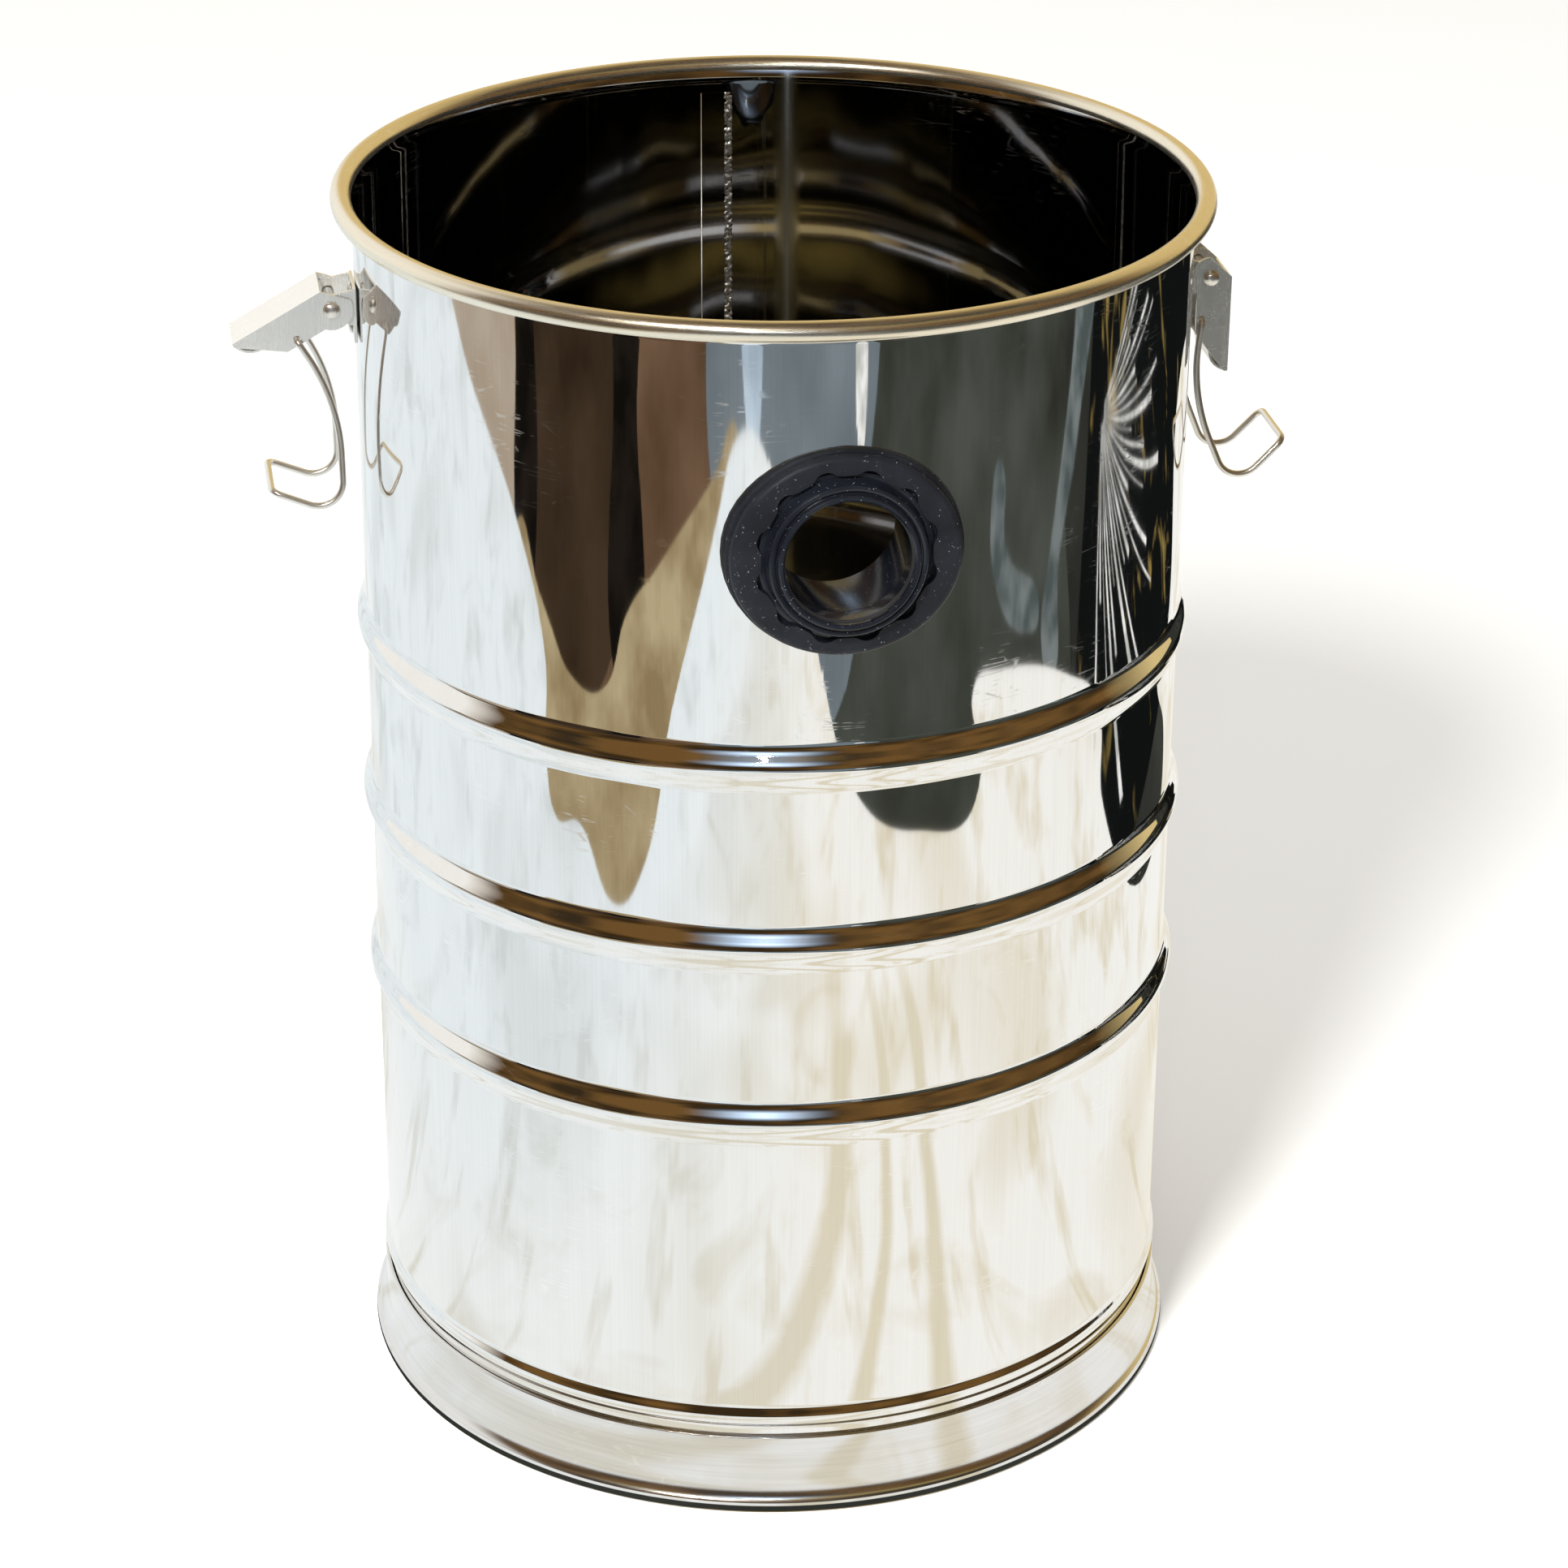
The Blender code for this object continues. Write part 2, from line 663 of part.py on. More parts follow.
def make_rivets(side):
    mount = latch_mounts[side]
    bottom = -pivot_reach - sheet - gap
    top = -pivot_reach + 2 * gap + bracket_sheet
    for level, rise in rivet_levels.items():
        name = f"{side}_{level}_rivet"
        profile = rivet_profile(rivet_radius, rivet_head_radius, rivet_head_height, bottom, top)
        rivet = add_part(name, profile_mesh(name, profile, False), bright_steel, mount)
        rivet.location = (0, rise, 0)
        rivet.rotation_euler = (0, math.pi / 2, 0)
        turn(rivet, 12)


def make_pin(side):
    name = f"{side}_pivot_rivet"
    grip = lever_half_width + gap
    profile = rivet_profile(pin_radius, pin_head_radius, pin_head_height, -grip, grip)
    pin = add_part(name, profile_mesh(name, profile, False), bright_steel, latch_mounts[side])
    turn(pin, 16)


def lever_slant():
    """Ends of the cheeks' slanted lower edge: at the wall side and at the tip."""
    return (
        Vector((-lever_wall_edge, -lever_slant_start)),
        Vector((lever_end_radius - lever_tip_depth, -lever_length)),
    )


def lever_outline():
    """Side view of the closed lever: sloped shoulder, round end at the wall side, slanted lower edge."""
    end = lever_end_radius
    top = math.degrees(math.acos(-lever_shoulder_in / end))
    wall_side = 180 + math.degrees(math.acos(lever_wall_edge / end))
    round_end = arc((0, 0), end, top, wall_side, 10)
    return [(end, 0.0)] + round_end + [tuple(p) for p in lever_slant()] + [(end, -lever_length)]


def lever_pocket_outline():
    """What is cut from between the cheeks, all but the outer plate."""
    inner = lever_end_radius - lever_sheet
    past = lever_end_radius + lever_sheet
    low = -lever_length - cut_margin
    far = lever_end_radius + cut_margin
    return [(past, 0.0), (inner, 0.0), (inner, low), (-far, low), (-far, far), (past, far)]


def lever_lip_outline():
    """The finger lip: sheet that curls back from the tip and bulges past the slanted edge."""
    wall_end, tip = lever_slant()
    along = (wall_end - tip).normalized()
    out = Vector((along.y, -along.x))
    if out.y > 0:
        out = -out
    steps = 5
    outer = []
    for i in range(steps + 1):
        share = i / steps
        bulge = lever_lip_bulge * math.sin(math.pi * share)
        outer.append(tip + along * lever_lip_length * share + out * bulge)
    inner = [point - out * lever_sheet for point in reversed(outer)]
    corner = Vector((lever_end_radius, -lever_length))
    start = corner + Vector((0, lever_sheet))
    return [tuple(point) for point in [corner] + outer + inner + [start]]


def make_lever(side):
    swing = lever_swings[side]
    name = f"{side}_latch_lever"
    lever = add_part(name, plate_mesh(name, lever_outline(), lever_half_width), bright_steel, swing)
    pocket = plate_mesh(name + "_pocket_cut", lever_pocket_outline(), lever_half_width - lever_sheet)
    boolean(lever, add_cutter(name + "_pocket_cut", pocket, swing))
    lip = plate_mesh(name + "_lip", lever_lip_outline(), lever_half_width - lever_sheet / 2)
    boolean(lever, add_cutter(name + "_lip", lip, swing), "UNION")
    wide = lever_half_width + cut_margin
    pin_hole = rod_mesh(name + "_pin_cut", pin_radius + gap, -wide, wide, 16)
    boolean(lever, add_cutter(name + "_pin_cut", pin_hole, swing))
    wire_hole = rod_mesh(name + "_wire_cut", wire_radius + gap, -wide, wide, 12)
    wire_hole.transform(Matrix.Translation((-wire_hole_in, -wire_hole_down, 0)))
    boolean(lever, add_cutter(name + "_wire_cut", wire_hole, swing))


def hook_leg():
    """One leg of the hook in side view, from its eye at the lever's holes to its toe."""
    place = Vector((0.0, 0.0))
    heading = hook_start_heading
    points = [place.copy()]

    def straight(length, steps):
        nonlocal place
        for _ in range(steps):
            place = place + Vector((math.cos(heading), math.sin(heading))) * (length / steps)
            points.append(place.copy())

    def bend(radius, turn_by, steps):
        nonlocal place, heading
        for _ in range(steps):
            chord = 2 * radius * math.sin(turn_by / steps / 2)
            heading += turn_by / steps / 2
            place = place + Vector((math.cos(heading), math.sin(heading))) * chord
            heading += turn_by / steps / 2
            points.append(place.copy())

    straight(hook_upper_straight, 1)
    bend(hook_upper_radius, hook_upper_turn, 5)
    straight(hook_lower_straight, 1)
    bend(hook_bend_radius, hook_bend_turn, 9)
    straight(hook_toe_straight, 1)
    return points, heading


def hook_route():
    """The whole wire: eye end, leg, toe, crossbar, toe, leg, eye end."""
    leg, heading = hook_leg()
    lateral = lever_half_width + gap + wire_radius
    corner = hook_corner_radius
    forward = Vector((math.cos(heading), math.sin(heading)))
    eye_corner = wire_radius + hook_eye_round
    half = [Vector((0, 0, lateral - wire_radius - hook_end_length))]
    for i in range(4):
        angle = math.pi / 2 * i / 3
        drop = leg[1].normalized() * eye_corner * (1 - math.cos(angle))
        half.append(Vector((drop.x, drop.y, lateral - eye_corner * (1 - math.sin(angle)))))
    toe = leg[-1]
    depth = -min(point.y for point in leg)
    for point in leg[1:]:
        share = min(1.0, point.length / depth)
        half.append(Vector((point.x, point.y, lateral + hook_splay * share**1.5)))
    wide = half[-1].z
    for i in range(1, 5):
        angle = math.pi / 2 * i / 4
        along = forward * corner * math.sin(angle)
        half.append(Vector((toe.x + along.x, toe.y + along.y, wide - corner * (1 - math.cos(angle)))))
    other = [Vector((p.x, p.y, -p.z)) for p in reversed(half)]
    return half + other


def make_hook(side):
    name = f"{side}_latch_hook"
    add_part(name, wire_mesh(name, hook_route(), wire_radius), bright_steel, hook_swings[side])


# The inlet's frame: its +Z points along -Y, and its +Y points up
inlet = add_empty("inlet_axis", (0, 0, up(inlet_height)), (math.pi / 2, 0, 0))
latch_mounts = {}
lever_swings = {}
hook_swings = {}
for side, azimuth in latch_azimuths.items():
    reach = drum_radius + pivot_reach
    place = (reach * math.cos(azimuth), reach * math.sin(azimuth), up(drum_height - latch_drops[side]))
    latch_mounts[side] = add_empty(f"{side}_pivot_axis", place, (math.pi / 2, 0, azimuth))
    lever_turn = (0, 0, lever_rests[side])
    lever_swings[side] = add_empty(f"{side}_lever_swing", (0, 0, 0), lever_turn, latch_mounts[side])
    eye = (-wire_hole_in, -wire_hole_down, 0)
    hook_swings[side] = add_empty(f"{side}_hook_swing", eye, (0, 0, hook_rests[side]), lever_swings[side])

make_shell()
make_floor()
make_foot_ring()
make_saddle()
make_gasket()
make_socket()
make_hose_seal()
make_wedge_ring()
make_locknut()
for side in latch_azimuths:
    make_bracket(side)
    make_rivets(side)
    make_pin(side)
    make_lever(side)
    make_hook(side)
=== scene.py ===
import bpy
import json
import math
from mathutils import Matrix, Vector

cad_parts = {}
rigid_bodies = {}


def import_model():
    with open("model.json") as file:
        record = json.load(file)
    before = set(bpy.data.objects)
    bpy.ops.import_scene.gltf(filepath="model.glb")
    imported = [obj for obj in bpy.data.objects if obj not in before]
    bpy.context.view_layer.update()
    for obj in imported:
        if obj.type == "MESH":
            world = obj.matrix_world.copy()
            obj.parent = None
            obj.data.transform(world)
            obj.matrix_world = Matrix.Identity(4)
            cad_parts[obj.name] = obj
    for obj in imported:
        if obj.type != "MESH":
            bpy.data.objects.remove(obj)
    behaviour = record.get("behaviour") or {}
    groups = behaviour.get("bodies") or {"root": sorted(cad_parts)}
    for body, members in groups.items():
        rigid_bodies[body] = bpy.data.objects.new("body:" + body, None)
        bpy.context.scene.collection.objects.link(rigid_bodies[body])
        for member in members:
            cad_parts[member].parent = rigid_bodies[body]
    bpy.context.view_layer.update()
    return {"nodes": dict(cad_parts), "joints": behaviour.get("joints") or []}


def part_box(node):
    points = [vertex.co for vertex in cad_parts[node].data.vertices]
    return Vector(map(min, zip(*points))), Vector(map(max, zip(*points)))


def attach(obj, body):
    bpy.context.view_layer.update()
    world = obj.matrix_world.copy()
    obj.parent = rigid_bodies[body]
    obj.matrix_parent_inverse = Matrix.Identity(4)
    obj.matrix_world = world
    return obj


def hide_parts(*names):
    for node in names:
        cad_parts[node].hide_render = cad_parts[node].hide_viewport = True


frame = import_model()
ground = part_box("foot_ring")[0].z  # the surface that the foot ring stands on
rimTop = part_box("drum_shell")[1].z
joints = {joint["name"]: joint for joint in frame["joints"]}
print("frame loaded")

studio = {
    "cameraPlace": (-0.3311, -2.0443, 1.2429),
    "cameraTurn": (-9.893, 64.658, 0.544),  # heading, tilt and roll in degrees
    "lens": 101.76,
    "shift": (-0.0229, -0.0029),
    "floorSize": 14.0,
    "keyLight": {
        "place": (-1.5, -2.4, 2.7), "size": 0.9, "power": 200.0, "colour": (1.0, 0.99, 0.97), "shines": False,
    },
    "glintLight": {
        "place": (-1.5, -2.4, 2.7), "size": 0.30, "power": 45.0, "colour": (1.0, 0.98, 0.95), "fills": False,
    },
    "flash": {"place": (-0.42, -2.10, 1.42), "size": 0.05, "power": 2.0, "colour": (0.92, 0.96, 1.0)},
    "flashGlow": {
        "place": (-0.42, -2.10, 1.16), "size": (1.70, 0.90), "colour": (0.60, 0.77, 1.0), "strength": 2.2,
    },
    "panGlow": {
        "place": (0.01, -0.02, 0.004), "size": (0.22, 0.17), "colour": (1.0, 0.70, 0.18), "strength": 0.6,
    },
    "fillColour": (1.0, 0.975, 0.93),
    "fillStrength": 0.84,
}

drum = {
    "radius": 0.205,
    "sheet": 0.0010,
    "foot": 0.018,
    "ribs": (0.2202, 0.3151, 0.4100),
    "ribWidth": 0.025,
    "ribRise": 0.0044,
    "bead": 0.052,
    "beadWidth": 0.014,
    "beadRise": 0.0022,
    "rollRadius": 0.0051,
    "rollReach": 0.0100,
    "leanHeight": 0.0060,
    "sides": 224,
    "waveSteps": 14,
}


seam = {
    "strip": (-0.0060, 0.0083),
    "edge": (-0.0064, -0.0058),
    "weld": (0.0062, 0.0104),
    "lift": 0.0001,
    "sheet": 0.0004,
    "weldSheet": 0.0011,
    "cuts": 1,
    "voxel": 0.0005,
    "lumpSize": 0.0020,
    "lumpHeight": 0.0016,
    "steps": 720,
    "topGap": 0.018,  # rim's top down to the seam's end
}


def above(height):
    return ground + height


def deselectAll():
    if bpy.context.object and bpy.context.object.mode != "OBJECT":
        bpy.ops.object.mode_set(mode="OBJECT")
    bpy.ops.object.select_all(action="DESELECT")


def pick(piece):
    deselectAll()
    piece.select_set(True)
    bpy.context.view_layer.objects.active = piece


def beginEdit(piece, action="SELECT"):
    pick(piece)
    bpy.ops.object.mode_set(mode="EDIT")
    bpy.ops.mesh.select_mode(type="VERT")
    bpy.ops.mesh.select_all(action=action)


def endEdit():
    bpy.ops.object.mode_set(mode="OBJECT")


def mergeAndEnd():
    bpy.ops.mesh.remove_doubles(threshold=0.000004)
    bpy.ops.mesh.normals_make_consistent(inside=False)
    endEdit()


def started(name, operator, **settings):
    # a new object, made by one of the add operators
    deselectAll()
    operator(**settings)
    piece = bpy.context.object
    piece.name = name
    return piece


def settle(piece):
    pick(piece)
    bpy.ops.object.transform_apply(location=True, rotation=True, scale=True)


def placeBy(piece, matrix):
    piece.matrix_world = matrix
    settle(piece)


def smooth(piece, degrees=32):
    pick(piece)
    bpy.ops.object.shade_smooth_by_angle(angle=math.radians(degrees))


def applyModifier(piece, kind, **settings):
    pick(piece)
    modifier = piece.modifiers.new(kind.lower(), kind)
    for key, value in settings.items():
        setattr(modifier, key, value)
    bpy.ops.object.modifier_apply(modifier=modifier.name)


def cut(piece, cutter, operation="DIFFERENCE"):
    applyModifier(piece, "BOOLEAN", operation=operation, object=cutter, solver="EXACT")
    bpy.data.objects.remove(cutter, do_unlink=True)


def lathe(name, profile, sides, closed=True):
    # one point is extruded along the profile, and the chain is spun round Z
    piece = started(name, bpy.ops.mesh.primitive_plane_add, size=0.001, location=(0, 0, 0))
    beginEdit(piece)
    bpy.ops.mesh.merge(type="CENTER")
    bpy.ops.transform.translate(value=(profile[0][0], 0, profile[0][1]))
    for (r0, z0), (r1, z1) in zip(profile, profile[1:]):
        bpy.ops.mesh.extrude_region_move(TRANSFORM_OT_translate={"value": (r1 - r0, 0, z1 - z0)})
    if closed:
        endEdit()
        last = len(piece.data.vertices) - 1
        for vertex in piece.data.vertices:
            vertex.select = vertex.index in (0, last)
        bpy.ops.object.mode_set(mode="EDIT")
        bpy.ops.mesh.edge_face_add()
    bpy.ops.mesh.select_all(action="SELECT")
    bpy.ops.mesh.spin(steps=sides, angle=math.tau, center=(0, 0, 0), axis=(0, 0, 1))
    bpy.ops.mesh.select_all(action="SELECT")
    mergeAndEnd()
    smooth(piece)
    return piece


def rod(name, radius, low, high, sides):
    piece = started(name, bpy.ops.mesh.primitive_cylinder_add, vertices=sides, radius=radius,
                    depth=high - low, location=(0, 0, (low + high) / 2))
    settle(piece)
    return piece


def block(name, low, high):
    middle = [(a + b) / 2 for a, b in zip(low, high)]
    piece = started(name, bpy.ops.mesh.primitive_cube_add, size=1, location=middle)
    piece.scale = [b - a for a, b in zip(low, high)]
    settle(piece)
    return piece


def arc(centre, radius, start, end, steps):
    angles = [math.radians(start + (end - start) * i / steps) for i in range(steps + 1)]
    return [(centre[0] + radius * math.cos(a), centre[1] + radius * math.sin(a)) for a in angles]


def dress(piece, material, slotName, body, *nodes):
    piece.data.materials.clear()
    piece.data.materials.append(material)
    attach(piece, body)
    if nodes:
        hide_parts(*nodes)
    return piece


class Nodes:
    # a small hand for wiring node trees

    def __init__(self, tree):
        self.tree = tree

    def add(self, kind, inputs=None, **settings):
        node = self.tree.nodes.new(kind)
        for key, value in settings.items():
            setattr(node, key, value)
        for key, value in (inputs or {}).items():
            if isinstance(value, bpy.types.NodeSocket):
                self.tree.links.new(value, node.inputs[key])
            else:
                node.inputs[key].default_value = value
        return node

    def math(self, operation, first, second=0.0, clamp=False):
        node = self.add("ShaderNodeMath", {0: first, 1: second}, operation=operation, use_clamp=clamp)
        return node.outputs[0]

    def times(self, first, second, clamp=False):
        return self.math("MULTIPLY", first, second, clamp)

    def mixColour(self, factor, first, second):
        # the sockets of a Mix node's colour mode go by number
        return self.add("ShaderNodeMix", {0: factor, 6: first, 7: second}, data_type="RGBA").outputs[2]

    def ramp(self, factor, low, high, first=0.0, last=1.0):
        inputs = {"Value": factor, "From Min": low, "From Max": high, "To Min": first, "To Max": last}
        return self.add("ShaderNodeMapRange", inputs).outputs[0]

    def noise(self, vector, scale, detail=2.0, roughness=0.5, distortion=0.0):
        inputs = {"Vector": vector, "Scale": scale, "Detail": detail, "Roughness": roughness}
        return self.add("ShaderNodeTexNoise", {**inputs, "Distortion": distortion}).outputs[0]

    def stretched(self, vector, scale, turn=(0, 0, 0)):
        node = self.add("ShaderNodeMapping", {"Vector": vector, "Scale": scale, "Rotation": turn})
        return node.outputs[0]


def newGroup(name, values, results):
    # a group takes a place and some values, and gives plain values back
    group = bpy.data.node_groups.new(name, "ShaderNodeTree")
    group.interface.new_socket("Vector", in_out="INPUT", socket_type="NodeSocketVector")
    for label, value in values.items():
        socket = group.interface.new_socket(label, in_out="INPUT", socket_type="NodeSocketFloat")
        socket.default_value = value
    for label in results:
        group.interface.new_socket(label, in_out="OUTPUT", socket_type="NodeSocketFloat")
    nodes = Nodes(group)
    return group, nodes, nodes.add("NodeGroupInput").outputs, nodes.add("NodeGroupOutput").inputs


def sheetGrainGroup():
    # drawn sheet: long streaks along Z, mottled by broad cloudy patches
    group, nodes, given, out = newGroup("sheetGrain", {"Fineness": 900.0}, ["Grain", "Clouds"])
    streaks = nodes.stretched(given["Vector"], (1, 1, 0.012))
    fine = nodes.times(nodes.noise(streaks, given["Fineness"]), 0.6)
    broad = nodes.noise(nodes.stretched(given["Vector"], (1, 1, 0.06)), 90.0)
    group.links.new(nodes.math("ADD", fine, nodes.times(broad, 0.4)), out["Grain"])
    group.links.new(nodes.noise(given["Vector"], 7.0, 4.0, 0.6), out["Clouds"])
    return group


def turnedGrainGroup():
    # brushed or spun round Z: streaks that follow the circumference
    group, nodes, given, out = newGroup("turnedGrain", {"Fineness": 1500.0}, ["Grain"])
    split = nodes.add("ShaderNodeSeparateXYZ", {0: given["Vector"]}).outputs
    angle = nodes.math("ARCTAN2", split[1], split[0])
    squares = [nodes.times(split[i], split[i]) for i in (0, 1)]
    radius = nodes.math("POWER", nodes.math("ADD", *squares), 0.5)
    along = nodes.times(angle, 0.006)  # long streaks
    place = nodes.add("ShaderNodeCombineXYZ", {0: along, 1: radius, 2: split[2]}).outputs[0]
    group.links.new(nodes.noise(place, given["Fineness"], 3.0), out["Grain"])
    return group


def hairScratchGroup():
    # short thin scratches, in two directions, gathered in patches
    group, nodes, given, out = newGroup("hairScratch", {"Fineness": 60.0, "Cover": 0.5}, ["Mask"])
    lines = []
    for turn, thin in (((0.1, 0.35, 0.2), 0.030), ((0.3, -0.25, 0.9), 0.022)):
        place = nodes.stretched(given["Vector"], (0.25, 0.25, 2.6), turn)
        cells = nodes.add("ShaderNodeTexVoronoi", {"Vector": place, "Scale": given["Fineness"]},
                          feature="DISTANCE_TO_EDGE")
        lines.append(nodes.ramp(cells.outputs["Distance"], thin, 0.0))
    line = nodes.math("MAXIMUM", lines[0], lines[1])
    patches = nodes.noise(given["Vector"], 11.0, 3.0)
    pieces = nodes.noise(given["Vector"], 130.0, 1.0)
    shown = nodes.times(nodes.ramp(patches, given["Cover"], 0.75), nodes.ramp(pieces, 0.5, 0.62))
    group.links.new(nodes.times(line, shown, True), out["Mask"])
    return group


def mouldSpeckGroup():
    # spark-eroded mould texture: fine pits, a few bright specks and a faint bloom
    group, nodes, given, out = newGroup("mouldSpeck", {"Fineness": 2600.0}, ["Height", "Specks", "Bloom"])
    place = given["Vector"]
    cells = nodes.add("ShaderNodeTexVoronoi", {"Vector": place, "Scale": 900.0})
    bright = nodes.ramp(cells.outputs["Distance"], 0.24, 0.08)
    rare = nodes.ramp(nodes.noise(place, 420.0, 1.0), 0.60, 0.66)
    group.links.new(nodes.noise(place, given["Fineness"]), out["Height"])
    group.links.new(nodes.times(bright, rare, True), out["Specks"])
    group.links.new(nodes.noise(place, 45.0, 3.0), out["Bloom"])
    return group


def flashStreakGroup():
    # the mask of a painted highlight: one soft vertical band at a given turn round Z, where the flash's
    # streak falls, broken up along its length
    group, nodes, given, out = newGroup("flashStreak", {"Turn": 1.5, "Width": 0.03}, ["Mask"])
    split = nodes.add("ShaderNodeSeparateXYZ", {0: given["Vector"]}).outputs
    angle = nodes.math("ARCTAN2", split[1], split[0])
    away = nodes.math("ABSOLUTE", nodes.math("SUBTRACT", angle, given["Turn"]))
    band = nodes.ramp(away, given["Width"], 0.0)
    streaks = nodes.noise(nodes.stretched(given["Vector"], (1, 1, 0.05)), 260.0, 2.0)
    uneven = nodes.ramp(streaks, 0.2, 0.7, 0.5, 1.0)
    group.links.new(nodes.times(nodes.math("POWER", band, 1.6), uneven, True), out["Mask"])
    return group


def newMaterial(name, **sockets):
    material = bpy.data.materials.new(name)
    material.use_nodes = True
    nodes = Nodes(material.node_tree)
    shader = material.node_tree.nodes["Principled BSDF"]
    for key, value in sockets.items():
        shader.inputs[key].default_value = value
    place = nodes.add("ShaderNodeTexCoord").outputs["Object"]
    return material, nodes, shader, place


def useGroup(nodes, group, vector, **inputs):
    node = nodes.add("ShaderNodeGroup", node_tree=group)
    nodes.tree.links.new(vector, node.inputs["Vector"])
    for key, value in inputs.items():
        node.inputs[key].default_value = value
    return node.outputs


def finishShader(nodes, shader, base, dull, height, strength, distance):
    # the last links of a finish: colour, roughness and bump
    bump = nodes.add("ShaderNodeBump", {"Height": height, "Strength": strength, "Distance": distance})
    for key, value in (("Base Color", base), ("Roughness", dull), ("Normal", bump.outputs[0])):
        nodes.tree.links.new(value, shader.inputs[key])


sheetGrain = sheetGrainGroup()
turnedGrain = turnedGrainGroup()
hairScratch = hairScratchGroup()
mouldSpeck = mouldSpeckGroup()
flashStreak = flashStreakGroup()


def mirrorSteel(name, light, dark, paintedStreak=None):
    # polished drum wall: near mirror, with vertical grain, light scratches and a slow ripple in the sheet
    material, nodes, shader, place = newMaterial(name, Metallic=1.0)
    grain = useGroup(nodes, sheetGrain, place, Fineness=900.0)
    scratch = useGroup(nodes, hairScratch, place, Fineness=55.0, Cover=0.50)["Mask"]
    base = nodes.mixColour(grain["Grain"], (*dark, 1), (*light, 1))
    base = nodes.mixColour(scratch, base, (0.95, 0.95, 0.95, 1))
    clouds = nodes.ramp(grain["Clouds"], 0.35, 0.7, 0.020, 0.045)
    dull = nodes.math("ADD", clouds, nodes.times(scratch, 0.30))
    # painted highlight: a bluish band where the flash's streak falls, made rougher there too
    if paintedStreak:
        streak = useGroup(nodes, flashStreak, place, Turn=paintedStreak["turn"], Width=paintedStreak["width"])["Mask"]
        streak = nodes.times(streak, paintedStreak["amount"])
        base = nodes.mixColour(streak, base, (0.80, 0.90, 1.0, 1))
        dull = nodes.math("ADD", dull, nodes.times(streak, 0.34))
    ripple = nodes.noise(nodes.stretched(place, (1, 1, 0.45)), 9.0, 1.0)
    height = nodes.math("ADD", nodes.times(ripple, 0.0011), nodes.times(grain["Grain"], 0.0000025))
    finishShader(nodes, shader, base, dull, height, 1.0, 1.0)
    return material


def satinSteel(name, shade, low, high, fineness=1500.0):
    # spun or brushed sheet, streaked round Z
    material, nodes, shader, place = newMaterial(name, Metallic=1.0)
    grain = useGroup(nodes, turnedGrain, place, Fineness=fineness)["Grain"]
    scratch = useGroup(nodes, hairScratch, place, Fineness=90.0, Cover=0.45)["Mask"]
    dark = (*[value * 0.80 for value in shade], 1)
    base = nodes.mixColour(scratch, nodes.mixColour(grain, dark, (*shade, 1)), (0.95, 0.95, 0.93, 1))
    dull = nodes.ramp(grain, 0.3, 0.7, low, high)
    finishShader(nodes, shader, base, dull, grain, 0.25, 0.00002)
    return material


def tumbledSteel(name, shade, low, high, metallic=1.0):
    # small pressed and tumbled pieces: soft clouds and fine scratches
    material, nodes, shader, place = newMaterial(name, Metallic=metallic)
    clouds = useGroup(nodes, sheetGrain, place, Fineness=2600.0)["Grain"]
    scratch = useGroup(nodes, hairScratch, place, Fineness=260.0, Cover=0.40)["Mask"]
    dark = (*[value * 0.86 for value in shade], 1)
    base = nodes.mixColour(scratch, nodes.mixColour(clouds, dark, (*shade, 1)), (0.97, 0.97, 0.96, 1))
    dull = nodes.math("ADD", nodes.ramp(clouds, 0.3, 0.7, low, high), nodes.times(scratch, 0.2))
    finishShader(nodes, shader, base, dull, clouds, 0.35, 0.00003)
    return material


def mouldedPlastic(name, shade, low, high, pits, shine=0.5):
    # black mouldings: fine spark-eroded pits, dusty clouds and a few bright specks
    material, nodes, shader, place = newMaterial(name, **{"Metallic": 0.0, "Specular IOR Level": shine})
    speck = useGroup(nodes, mouldSpeck, place, Fineness=2600.0)
    dusty = (*[value * 1.5 + 0.002 for value in shade], 1)
    base = nodes.mixColour(nodes.ramp(speck["Bloom"], 0.35, 0.75), (*shade, 1), dusty)
    base = nodes.mixColour(speck["Specks"], base, (0.30, 0.33, 0.37, 1))
    dull = nodes.ramp(speck["Height"], 0.3, 0.7, low, high)
    finishShader(nodes, shader, base, dull, speck["Height"], pits, 0.00012)
    return material


# where the painted highlight streak falls on the inner steel
innerStreak = {"turn": 1.375, "width": 0.040, "amount": 0.8}  # turn and width in radians round the axis
wallSteel = mirrorSteel("wallSteel", (0.93, 0.93, 0.92), (0.80, 0.79, 0.77))
# the inner steel is a darker copy of the wall's steel: painted shade for the deep inside of the drum
innerShadedSteel = mirrorSteel("innerShadedSteel", (0.64, 0.64, 0.64), (0.50, 0.50, 0.51), innerStreak)
# the rim steel's warm gold tint is a painted reflection of the warm room round it
rimSteel = satinSteel("rimSteel", (0.98, 0.91, 0.76), 0.24, 0.32)
ringSteel = satinSteel("ringSteel", (0.86, 0.86, 0.86), 0.14, 0.20, 600.0)
